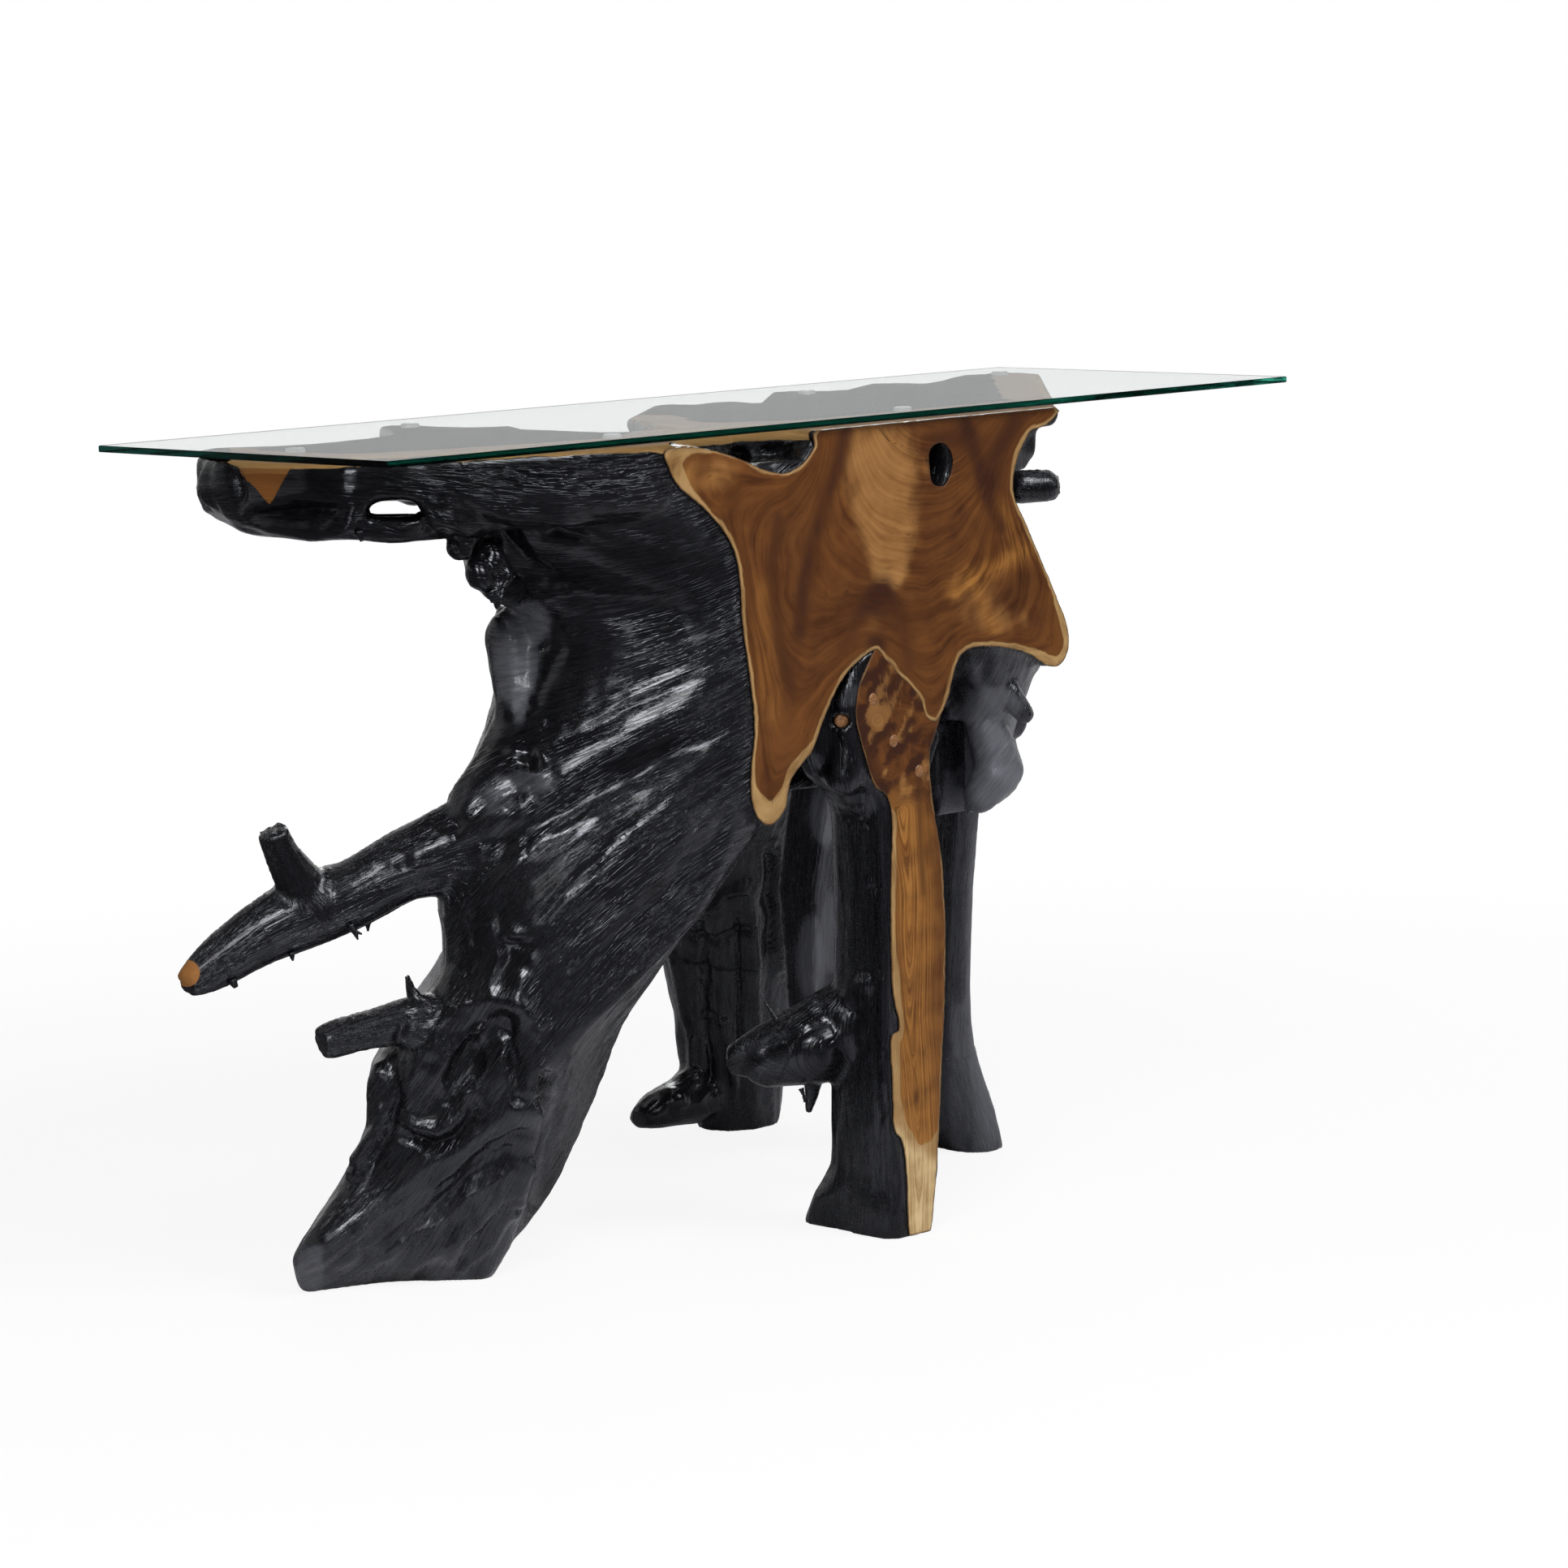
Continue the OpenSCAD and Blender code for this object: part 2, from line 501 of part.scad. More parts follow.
module inner_brace_wood() {
    skin([
        [[742, 232, 166], [735, 262, 172], [770, 285, 170], [800, 262, 168], [790, 232, 164]],
        [[724, 214, 300], [716, 255, 300], [762, 292, 300], [808, 262, 300], [794, 214, 300]],
        [[714, 182, 400], [708, 225, 400], [752, 262, 400], [804, 235, 400], [790, 186, 400]],
        [[712, 160, 470], [708, 205, 470], [750, 243, 470], [804, 215, 470], [790, 165, 470]]
    ]);
}

// Joinery. A dowel place is the middle of the dowel, on the level joint of its leg.
dowel_places = [[748, 296, 470], [842, 312, 470], [892, 190, 375], [916, 222, 375],
    [799, 119, 470], [744, 196, 470]];
// A screw goes in at [x, y, z] on the surface and points a degrees to the right of straight in.
screw_places = [[600, 12, 516, 0], [627, 12, 474, 0], [661, 12, 442, 0], [570, 24, 498, 37]];
head_height = 4;
module at_dowels() { for (d = dowel_places) translate(at(d)) children(); }
module at_screws() {
    for (w = screw_places)
        translate(at(w)) rotate([0, 0, -w[3]]) rotate([-90, 0, 0]) children();
}
module dowel_bores() {
    at_dowels() translate([0, 0, -dowel_length / 2 - 1])
        cylinder(r = dowel_radius + bore_clearance, h = dowel_length + 2, $fn = 40);
}
module screw_bores() {
    at_screws() {
        cylinder(r = screw_radius + bore_clearance, h = screw_length + 2, $fn = 24);
        translate([0, 0, -14])
            cylinder(r = max(plug_radius, screw_head_radius) + bore_clearance,
                h = 14 + plug_length + head_height, $fn = 40);
    }
}

module glass_top() {
    color([0.72, 0.86, 0.82, 0.5])
        translate([-glass_length / 2, -base_depth / 2, glass_z])
            cube([glass_length, glass_depth, glass_thickness]);
}
bumper_places = [[70, 200], [320, 60], [330, 340], [700, 60], [840, 320], [1150, 340]];
module glass_bumpers() {
    color([0.9, 0.92, 0.92, 0.7])
        for (b = bumper_places)
            translate([at([b[0], b[1], 0])[0], at([b[0], b[1], 0])[1], wood_top])
                cylinder(r = bumper_radius, h = bumper_height);
}
module stump() {
    color([0.12, 0.12, 0.13]) difference() {
        laid_out() stump_wood();
        dowel_bores();
        screw_bores();
    }
}
module front_leg() {
    color([0.14, 0.14, 0.15]) difference() {
        laid_out() front_leg_wood();
        screw_bores();
    }
}
module rear_leg() {
    color([0.16, 0.16, 0.17]) difference() {
        laid_out() rear_leg_wood();
        dowel_bores();
    }
}
module right_leg() {
    color([0.18, 0.18, 0.19]) difference() {
        laid_out() right_leg_wood();
        dowel_bores();
    }
}
module right_post() {
    color([0.10, 0.10, 0.11]) difference() {
        laid_out() right_post_wood();
        dowel_bores();
    }
}
module inner_brace() {
    color([0.22, 0.22, 0.23]) difference() {
        laid_out() inner_brace_wood();
        dowel_bores();
    }
}
module leg_dowels() {
    color([0.80, 0.62, 0.40]) at_dowels()
        translate([0, 0, -dowel_length / 2]) cylinder(r = dowel_radius, h = dowel_length);
}
module lag_screws() {
    color([0.60, 0.60, 0.62]) at_screws() {
        translate([0, 0, plug_length]) cylinder(r = screw_head_radius, h = head_height);
        translate([0, 0, plug_length + head_height - 0.5])
            cylinder(r = screw_radius, h = screw_length - plug_length - head_height + 0.5);
    }
}
module wood_plugs() {
    color([0.82, 0.62, 0.38]) at_screws() cylinder(r = plug_radius, h = plug_length);
}

glass_top();
glass_bumpers();
stump();
front_leg();
rear_leg();
right_leg();
right_post();
inner_brace();
leg_dowels();
lag_screws();
wood_plugs();
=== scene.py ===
"""Console table of joined tree roots under a clear glass sheet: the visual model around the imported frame.

Shapes are worked out in the layout frame of the table: millimetres, X along the glass from its left
front corner, Y from the front edge to the back, Z up from the floor. table() takes them to the frame of
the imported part, in metres. Places on the side that the picture shows are given in picture units, which
run from 0 to 1932 across and down, as the camera at the end of the script sees them.
"""
import math
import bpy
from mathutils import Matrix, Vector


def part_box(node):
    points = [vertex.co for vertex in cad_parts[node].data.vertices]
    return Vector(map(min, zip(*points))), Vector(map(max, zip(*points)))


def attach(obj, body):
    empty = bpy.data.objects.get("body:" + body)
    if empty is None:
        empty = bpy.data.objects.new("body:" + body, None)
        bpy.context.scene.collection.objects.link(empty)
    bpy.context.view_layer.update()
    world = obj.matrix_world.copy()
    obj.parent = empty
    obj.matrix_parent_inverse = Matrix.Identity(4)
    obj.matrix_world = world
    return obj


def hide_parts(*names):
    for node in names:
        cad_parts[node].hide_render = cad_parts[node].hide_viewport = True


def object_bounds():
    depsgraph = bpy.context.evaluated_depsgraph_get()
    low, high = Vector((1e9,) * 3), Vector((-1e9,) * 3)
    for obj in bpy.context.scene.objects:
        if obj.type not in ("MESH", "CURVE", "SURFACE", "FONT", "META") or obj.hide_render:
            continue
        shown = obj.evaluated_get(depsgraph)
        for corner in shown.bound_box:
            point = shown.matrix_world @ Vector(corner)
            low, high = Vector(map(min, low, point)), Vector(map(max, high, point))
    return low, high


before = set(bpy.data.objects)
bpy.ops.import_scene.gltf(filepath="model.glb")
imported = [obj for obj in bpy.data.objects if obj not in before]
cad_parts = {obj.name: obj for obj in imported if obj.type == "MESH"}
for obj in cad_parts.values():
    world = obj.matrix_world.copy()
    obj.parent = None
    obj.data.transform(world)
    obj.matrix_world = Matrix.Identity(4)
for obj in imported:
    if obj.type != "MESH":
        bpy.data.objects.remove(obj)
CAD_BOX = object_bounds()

from types import SimpleNamespace

import bpy
import numpy as np
from mathutils import Matrix, Vector
from mathutils.geometry import delaunay_2d_cdt
from mathutils.kdtree import KDTree

MM = 0.001
ORIGIN = np.array([600.0, 270.0, 0.0])
FRONT = 12.0  # how far the sawn faces lie behind the edge of the glass
TOP = 770.0  # the level top of the wood
ON_PLANE = 0.7  # how near a vertex lies to a sawn plane that it belongs to
BODY = "base"


def table(p):
    return (np.asarray(p, float) - ORIGIN) * MM


def layout(p):
    return np.asarray(p, float) / MM + ORIGIN


def unit(v):
    """The vectors, each at length one."""
    return v / np.maximum(np.linalg.norm(v, axis=-1, keepdims=True), 1e-9)


# The picture's viewpoint.
PICTURE = 1932
HALF = PICTURE / 2
FOCAL = 6500.0
EYE = np.array([-2936.0, -3321.0, 1109.0])
AHEAD = np.array([0.70896, 0.69187, -0.13670])
YAW = math.radians(44.301)
ROLL = -0.0234155
LEVEL = np.array([math.sin(YAW), -math.cos(YAW), 0.0])
UPRIGHT = np.cross(LEVEL, AHEAD)
SIDE = math.cos(ROLL) * LEVEL + math.sin(ROLL) * UPRIGHT
UP = -math.sin(ROLL) * LEVEL + math.cos(ROLL) * UPRIGHT


def picture(p):
    """Where layout points lie in the picture, in its units."""
    d = np.asarray(p, float) - EYE
    depth = d @ AHEAD
    return np.stack([HALF + FOCAL * (d @ SIDE) / depth, HALF - FOCAL * (d @ UP) / depth], -1)


def depth_of(p):
    """How far ahead of the eye layout points lie."""
    return (p - EYE) @ AHEAD


def place_at(x, y, depth):
    """The layout point seen at picture point x, y, so far ahead of the eye."""
    ray = AHEAD + SIDE * ((x - HALF) / FOCAL) + UP * ((HALF - y) / FOCAL)
    return EYE + ray * depth


# Noise.
rng = np.random.default_rng(7)
PERM = rng.permutation(256)
PERM = np.concatenate([PERM, PERM, PERM])
GRAD = unit(rng.normal(size=(256, 3)))


def noise(p):
    """Gradient noise of (n, 3) points, about -1 to 1."""
    cell = np.floor(p).astype(int)
    f = p - cell
    cell &= 255
    s = f * f * f * (f * (f * 6 - 15) + 10)
    out = np.zeros(len(p))
    for corner in range(8):
        o = np.array([corner & 1, corner >> 1 & 1, corner >> 2 & 1])
        c = cell + o
        g = GRAD[PERM[PERM[PERM[c[:, 0]] + c[:, 1]] + c[:, 2]]]
        w = np.prod(np.where(o, s, 1 - s), axis=1)
        out += w * np.sum(g * (f - o), axis=1)
    return out * 1.6


def fractal(p, octaves=3):
    total, size, strength = 0.0, 1.0, 1.0
    for k in range(octaves):
        total = total + strength * noise(np.asarray(p, float) * size + 17.3 * k)
        size *= 2.03
        strength *= 0.5
    return total


def plane_noise(x, y, layer=0.0, octaves=1):
    return fractal(np.stack([x, y, np.full_like(x, layer)], -1), octaves)


def smoothstep(a, b, x):
    t = np.clip((x - a) / (b - a), 0, 1)
    return t * t * (3 - 2 * t)


# Measures in a plane: spots, strokes, and distances from lines.
def blob_at(q, x, y, rx, ry):
    """One at a point, falling off over its half sizes."""
    return np.exp(-(((q[:, 0] - x) / rx) ** 2 + ((q[:, 1] - y) / ry) ** 2))


def segment_distance(q, a, b):
    d = b - a
    t = np.clip(((q - a) @ d) / max(d @ d, 1e-9), 0, 1)
    return np.linalg.norm(q - a - t[:, None] * d, axis=1)


def line_distance(q, points):
    points = np.array(points, float)
    return np.min([segment_distance(q, a, b) for a, b in zip(points[:-1], points[1:])], axis=0)


def stroke(q, points, width):
    """One on the line through the points, falling off to both sides."""
    return np.exp(-((line_distance(q, points) / width) ** 2))


def painted(q, spots=(), strokes=()):
    """The sum of spots (x, y, half sizes, strength) and strokes (points, width, strength)."""
    total = np.zeros(len(q))
    for x, y, rx, ry, strength in spots:
        total += strength * blob_at(q, x, y, rx, ry)
    for points, width, strength in strokes:
        total += strength * stroke(q, points, width)
    return total


# Flow of the grain on the front left side: points of the picture with the direction that the grooves
# take there, in degrees.
GRAIN = [
    (180, 1240, 25), (300, 640, -3), (330, 600, -5), (400, 600, -3), (450, 645, 0), (520, 610, 0),
    (618, 631, -4), (700, 610, 2), (634, 703, -20), (720, 690, 4), (790, 734, 10), (840, 640, -6),
    (880, 700, 2), (760, 837, 15), (690, 900, 8), (745, 905, 30), (850, 850, 22), (640, 940, 8),
    (602, 975, 18), (790, 990, 38), (852, 944, 40), (900, 912, 38), (696, 1053, 47), (760, 1069, 50),
    (868, 1053, 48), (571, 1037, 30), (683, 1093, 50), (650, 1143, 50), (733, 1160, 52), (717, 1293, 60),
    (567, 1227, 42), (500, 1293, 50), (460, 1377, 66), (450, 1427, 52), (483, 1477, 45), (583, 1443, 47),
    (600, 1527, 58), (400, 1543, 45), (650, 1410, 70), (677, 1443, 68), (540, 1350, 50), (1100, 700, 60),
    (1230, 900, 62), (1150, 620, 75),
]
GRAIN_MIDDLE = (700, 950)
GRAIN_UNIT = 500
GRAIN_SPAN = 380  # millimetres for one unit of the maps
FLOW_LIMITS = ((-1.2, 1.2), (-1.0, 1.3))
DEGREE = 4
POWERS = [(i, j) for i in range(DEGREE + 1) for j in range(DEGREE + 1 - i) if i + j > 0]


def grain_plane(q):
    return (q[:, 0] - GRAIN_MIDDLE[0]) / GRAIN_UNIT, (q[:, 1] - GRAIN_MIDDLE[1]) / GRAIN_UNIT


def flow_maps():
    """Two polynomials of the picture plane: one steps across the grain, the other along it."""
    g = np.array(GRAIN, float)
    x, y = grain_plane(g)
    a = np.radians(g[:, 2])
    gx = np.stack([i * x ** max(i - 1, 0) * y**j if i else 0 * x for i, j in POWERS], -1)
    gy = np.stack([j * x**i * y ** max(j - 1, 0) if j else 0 * x for i, j in POWERS], -1)
    along = gx * np.cos(a)[:, None] - gy * np.sin(a)[:, None]
    across = gx * np.sin(a)[:, None] + gy * np.cos(a)[:, None]
    damp = 0.02 * np.eye(len(POWERS))
    wanted = np.concatenate([np.zeros(len(g)), np.ones(len(g)), np.zeros(len(POWERS))])
    return [np.linalg.lstsq(np.concatenate([still, steps, damp]), wanted, rcond=None)[0]
            for still, steps in ((2.5 * along, across), (across, along))]


ACROSS_MAP, ALONG_MAP = flow_maps()


def flow(co):
    """Steps across and along the grain, in millimetres, of layout points seen from the front left."""
    x, y = (np.clip(v, *limits) for v, limits in zip(grain_plane(picture(co)), FLOW_LIMITS))
    basis = np.stack([x**i * y**j for i, j in POWERS], -1)
    return basis @ ACROSS_MAP * GRAIN_SPAN, basis @ ALONG_MAP * GRAIN_SPAN


# Meshes.
def placed(name, data):
    o = bpy.data.objects.new(name, data)
    bpy.context.scene.collection.objects.link(o)
    return o


def new_object(name, verts, faces, smooth=True):
    """verts in layout millimetres."""
    mesh = bpy.data.meshes.new(name)
    mesh.from_pydata(table(verts).tolist(), [], [list(map(int, f)) for f in faces])
    mesh.validate()
    mesh.update()
    if smooth:
        mesh.shade_smooth()
    return placed(name, mesh)


def evaluated(o):
    """Applies the object's modifiers to its mesh."""
    bpy.context.view_layer.update()
    mesh = bpy.data.meshes.new_from_object(o.evaluated_get(bpy.context.evaluated_depsgraph_get()))
    old = o.data
    o.modifiers.clear()
    o.data = mesh
    bpy.data.meshes.remove(old)


def read_co(mesh):
    co = np.zeros(len(mesh.vertices) * 3, np.float32)
    mesh.vertices.foreach_get("co", co)
    return layout(co.reshape(-1, 3))


def write_co(mesh, co):
    mesh.vertices.foreach_set("co", table(co).astype(np.float32).ravel())
    mesh.update()


def normals(mesh):
    n = np.zeros(len(mesh.vertices) * 3, np.float32)
    mesh.vertex_normals.foreach_get("vector", n)
    return n.reshape(-1, 3).astype(float)


def edge_ends(mesh):
    e = np.zeros(len(mesh.edges) * 2, np.int32)
    mesh.edges.foreach_get("vertices", e)
    return e[0::2], e[1::2]


def set_float(o, name, values):
    at = o.data.attributes.get(name) or o.data.attributes.new(name, "FLOAT", "POINT")
    at.data.foreach_set("value", np.asarray(values, np.float32))


def set_grain(o, qa, qb, w):
    """Two sets of groove coordinates and the share of the second."""
    for name, values in (("qa", qa), ("qb", qb)):
        at = o.data.attributes.new(name, "FLOAT_VECTOR", "POINT")
        at.data.foreach_set("vector", np.asarray(values, np.float32).ravel())
    set_float(o, "w", w)


def kept_in(co, box, gap):
    """The points moved into a box of the frame, so far inside its sides."""
    low, high = (layout(v) for v in box)
    return np.clip(co, low + gap, high - gap)


def ring_points(centre, u, w, radius, turns):
    """Points round a centre, turning from u towards w; the radius is one number or one for each."""
    a = 2 * np.pi * np.arange(turns) / turns
    return centre + (np.outer(np.cos(a), u) + np.outer(np.sin(a), w)) * np.reshape(radius, (-1, 1))


def tube_faces(first, rings, turns):
    """Faces between rings of vertices that follow each other from the first index on."""
    faces = []
    for j in range(rings - 1):
        for k in range(turns):
            a, b = first + j * turns + k, first + j * turns + (k + 1) % turns
            faces.append([a, b, b + turns, a + turns])
    return faces


def end_faces(first, rings, turns):
    last = first + (rings - 1) * turns
    return [list(range(first, first + turns))[::-1], list(range(last, last + turns))]


def side_of(d, spare):
    """A unit vector across d: level, or across the spare direction where d is steep."""
    return unit(np.cross(d, np.array([0, 0, 1.0]) if abs(d[2]) < 0.9 else np.array(spare)))


def neighbour_mean(values, a, b, count):
    out = np.empty_like(values)
    for k in range(values.shape[1]):
        out[:, k] = np.bincount(a, values[b, k], len(values)) + np.bincount(b, values[a, k], len(values))
    return out / count[:, None]


def flats(co):
    """Which coordinates are held because their vertex lies on the front, the level top or the floor."""
    level = (co[:, 2] > TOP - ON_PLANE) | (co[:, 2] < ON_PLANE)
    return np.stack([np.zeros(len(co), bool), co[:, 1] < FRONT + ON_PLANE, level], -1)


# Where a skin stays crisp when it is evened out, and where a crease of it is rounded off instead:
# centre and reach in layout millimetres.
CRISP = [((105, 235, 722), 75), ((85, 264, 430), 40), ((190, 215, 720), 60), ((930, 60, 687), 40)]
ROUND = [((44, 102, 745), 46), ((44, 102, 722), 40), ((92, 74, 750), 36)]


def within(co, centre, reach):
    """One up to half the reach of a centre, zero from the reach on."""
    return smoothstep(reach, 0.5 * reach, np.linalg.norm(co - centre, axis=1))


def relax(mesh, passes):
    """Evens a skin out without shrinking it, apart from the places in ROUND."""
    co = read_co(mesh)
    soft, shrink = np.ones(len(co)), np.zeros(len(co))
    for centre, reach in CRISP:
        soft = np.minimum(soft, 1 - 0.85 * within(co, centre, reach))
    for centre, reach in ROUND:
        shrink = np.maximum(shrink, within(co, centre, reach))
    soft = np.maximum(soft, shrink)
    a, b = edge_ends(mesh)
    count = np.maximum(np.bincount(a, minlength=len(co)) + np.bincount(b, minlength=len(co)), 1)
    held = flats(co)
    for k in range(passes):
        for factor, much in ((0.55, soft), (-0.57, soft * (1 - shrink))):
            step = factor * (neighbour_mean(co, a, b, count) - co) * much[:, None]
            step[held] = 0
            co = co + step
    write_co(mesh, co)


# Coordinates of the grooves, in millimetres for one unit: across them and along them.
PITCH = 5.0
STRETCH = 60.0
LEG_PITCH = 4.5
LEG_STRETCH = 70.0
BONE_RADIUS = 40.0


def bone_field(co, bone, pitch, stretch):
    """Coordinates round and along a bent line, for grooves that run with a root."""
    bone = np.asarray(bone, float)
    best = np.full(len(co), 1e18)
    out = np.zeros((len(co), 3))
    start = 0.0
    for p, q in zip(bone[:-1], bone[1:]):
        length = np.linalg.norm(q - p)
        d = (q - p) / length
        s = side_of(d, (0.6, -0.8, 0))
        u = np.cross(s, d)
        rel = co - p
        off = rel - np.clip(rel @ d, 0, length)[:, None] * d
        r = np.linalg.norm(off, axis=1)
        near = r < best
        turned = unit(off) * BONE_RADIUS / pitch
        value = np.stack([turned @ s, turned @ u, (start + rel @ d) / stretch], -1)
        out[near] = value[near]
        best[near] = r[near]
        start += length
    return out, best


# Roots that leave the body: bone line and how far round it the root reaches.
LIMBS = [
    ([[250, 196, 405], [200, 222, 391], [125, 265, 358], [80, 285, 338], [0, 306, 297]], 56),
    ([[128, 262, 360], [108, 264, 388], [80, 264, 440]], 30),
    ([[225, 202, 246], [162, 222, 248], [100, 242, 238]], 34),
    ([[850, 90, 696], [918, 62, 687], [940, 58, 686]], 24),
]
SIDEWAYS = np.array([0.698, -0.716, 0.0])
BACKWARD = np.array([0.7, 0.7, 0.0])
BACKWARD_STRETCH = 70.0
UPRIGHT_GROOVES = np.array([6.0, 6.0, 60.0])
BEAM_GROOVES = np.array([60.0, 6.0, 6.0])
BEAM_LOW = 690
BEAM_RIGHT = 300


def stump_fields(co, normal):
    across, along = flow(co)
    qa = np.stack([across / PITCH, along / STRETCH, co @ BACKWARD / BACKWARD_STRETCH], -1)
    qb = co / UPRIGHT_GROOVES
    w = smoothstep(0.72, 0.95, np.abs(normal @ SIDEWAYS))
    w = np.maximum(w, smoothstep(0.3, 0.6, normal @ BACKWARD) * 0.9)
    beam = (co[:, 2] > BEAM_LOW) & (co[:, 0] < BEAM_RIGHT)
    qb[beam] = co[beam] / BEAM_GROOVES
    for bone, reach in LIMBS:
        q, r = bone_field(co, bone, PITCH, STRETCH)
        near = r < reach
        qb[near] = q[near]
        w[near] = np.maximum(w[near], smoothstep(reach, reach * 0.8, r[near]))
    return qa, qb, w


def leg_fields(bone, *limbs):
    def fields(co, normal):
        q, _ = bone_field(co, bone, LEG_PITCH, LEG_STRETCH)
        for line, reach in limbs:
            other, r = bone_field(co, line, LEG_PITCH, STRETCH)
            q[r < reach] = other[r < reach]
        return q, q, np.ones(len(co))
    return fields


def grooved(qa, qb, w, ridge, groove):
    """Height in millimetres of broad ridges and of the coarser grooves."""
    def height(q):
        broad = noise(q * np.array([0.12, 0.5, 0.5]) + 3.1)
        mid = fractal(q * np.array([0.42, 0.8, 0.8]) + 9.7, 2)
        return ridge * broad + groove * (0.5 - np.abs(mid)) * 1.4
    return height(qa) * (1 - w) + height(qb) * w


# Forms that are carved where the picture shows them. A ridge: points of the picture, width in picture
# units, height in millimetres (below zero is a groove). A lump or pit: middle and half sizes in picture
# units, height in millimetres.
RIDGES = [
    ([(636, 972), (700, 947), (771, 913), (832, 882), (925, 840), (990, 806)], 31, 8.5),
    ([(590, 1052), (650, 1016), (709, 990), (800, 940), (860, 912), (925, 882), (990, 852)], 18, -9),
    ([(628, 1178), (700, 1112), (770, 1052), (840, 1002), (925, 948), (990, 912)], 42, 11),
    ([(920, 1000), (900, 1041), (850, 1135), (748, 1233), (715, 1265), (690, 1310), (680, 1350)], 11, 5),
    ([(860, 1010), (800, 1080), (740, 1150), (690, 1215)], 12, 3.5),
    ([(900, 975), (840, 1035), (770, 1110), (700, 1190)], 6, -2),
    ([(905, 995), (860, 1048), (800, 1120)], 6, -2),
    ([(915, 925), (850, 962), (790, 1005), (720, 1070), (665, 1135)], 5, -2.4),
    ([(690, 918), (780, 872), (860, 832)], 5, -2.4),
    ([(915, 938), (850, 980), (780, 1030), (700, 1100)], 4, -1.8),
    ([(670, 895), (760, 858), (850, 815)], 5, -2.4),
    ([(390, 1556), (470, 1500), (560, 1438), (640, 1378)], 5, 3.5),
    ([(420, 1556), (500, 1500), (590, 1440), (648, 1392)], 5, 3),
    ([(450, 1566), (540, 1508), (620, 1440)], 5, 3), ([(500, 1566), (570, 1520), (632, 1460)], 6, 3.5),
    ([(560, 1570), (605, 1530), (634, 1488)], 6, 3.5),
    ([(545, 1008), (575, 975), (615, 950), (660, 948)], 24, 7),
    ([(560, 1022), (600, 992), (650, 975)], 7, -4), ([(600, 1110), (620, 1085), (650, 1050)], 8, 4),
    ([(575, 1120), (590, 1170), (570, 1210)], 8, -4), ([(600, 1130), (615, 1180), (600, 1225)], 8, 4),
    ([(690, 1180), (720, 1160), (770, 1110)], 10, 3), ([(650, 1190), (640, 1230), (655, 1262)], 12, 4),
    ([(494, 1065), (530, 1050), (565, 1035), (600, 1015), (640, 990)], 14, 6),
    ([(560, 1090), (600, 1070), (640, 1040)], 12, -4),
    ([(530, 1310), (542, 1272), (575, 1242), (610, 1232), (645, 1240), (660, 1270), (655, 1310),
      (640, 1350)], 14, 7),
    ([(622, 1262), (632, 1300), (640, 1345)], 9, -9), ([(592, 1275), (582, 1310), (572, 1350)], 30, -15),
    ([(555, 1290), (545, 1330), (550, 1360)], 9, 5), ([(600, 1290), (585, 1340), (590, 1370)], 6, 5),
    ([(497, 1378), (515, 1390), (540, 1392), (560, 1380), (575, 1356)], 7, 7),
    ([(500, 1402), (530, 1411), (560, 1402), (588, 1377)], 7, -10),
    ([(470, 1300), (458, 1345), (470, 1390), (440, 1440)], 9, 6),
    ([(500, 1260), (480, 1310), (490, 1350), (478, 1400), (455, 1440)], 7, -7),
    ([(520, 1290), (505, 1340), (512, 1370)], 8, 5), ([(470, 1395), (452, 1425), (433, 1462)], 9, 7),
    ([(655, 1355), (600, 1385), (540, 1430), (480, 1470), (430, 1510), (385, 1545)], 15, 8),
    ([(640, 1405), (590, 1445), (530, 1492), (460, 1545)], 14, -7),
    ([(650, 1415), (610, 1465), (570, 1522), (540, 1560)], 13, 6),
    ([(610, 1415), (560, 1475), (500, 1540)], 10, -5),
    ([(656, 1349), (646, 1409), (638, 1441), (634, 1490)], 9, 12),
    ([(672, 1330), (664, 1405), (657, 1445), (653, 1492)], 7, -26),
    ([(700, 1310), (690, 1390), (680, 1450)], 10, 4), ([(289, 578), (299, 621)], 6, -8),
    ([(292, 628), (336, 646), (380, 656), (424, 652), (442, 634)], 10, 6),
    ([(299, 621), (355, 615), (392, 606), (436, 609), (474, 602), (511, 608), (555, 621)], 8, 2.5),
    ([(305, 634), (355, 634), (417, 627)], 6, -8), ([(365, 632), (378, 630), (392, 634)], 11, -9),
    ([(517, 634), (530, 659)], 5, -6),
    ([(524, 628), (567, 648), (605, 680), (630, 718), (667, 754)], 11, 7),
    ([(560, 622), (617, 655), (655, 697), (700, 735)], 11, -6),
    ([(561, 620), (667, 640), (792, 668), (905, 690)], 12, 2),
    ([(600, 600), (720, 612), (840, 640), (900, 665)], 12, 1.5),
    ([(680, 720), (760, 745), (860, 765), (915, 770)], 26, -7),
    ([(676, 770), (690, 795), (676, 832), (655, 872)], 9, -2.5), ([(619, 762), (623, 772)], 3.5, -4),
    ([(648, 756), (653, 766)], 3.5, -4), ([(545, 655), (548, 668), (560, 676)], 5, -5),
    ([(580, 690), (596, 712), (606, 730)], 6, 5), ([(590, 680), (607, 700), (622, 728)], 4, -5),
]
LUMPS = [
    (652, 941, 12, 8, -9), (637, 926, 12, 7, 5), (672, 930, 9, 9, 5), (650, 958, 18, 6, 5),
    (634, 1149, 11, 9, 6), (640, 1163, 14, 5, -5), (690, 656, 17, 8, -9), (712, 662, 10, 6, -5),
    (696, 642, 20, 6, 4), (665, 795, 8, 6, -7), (262, 600, 20, 22, 5), (560, 1240, 7, 7, 4),
    (575, 1236, 6, 6, 4), (520, 1235, 10, 7, 4), (590, 706, 12, 16, 5), (563, 668, 12, 8, 4),
]
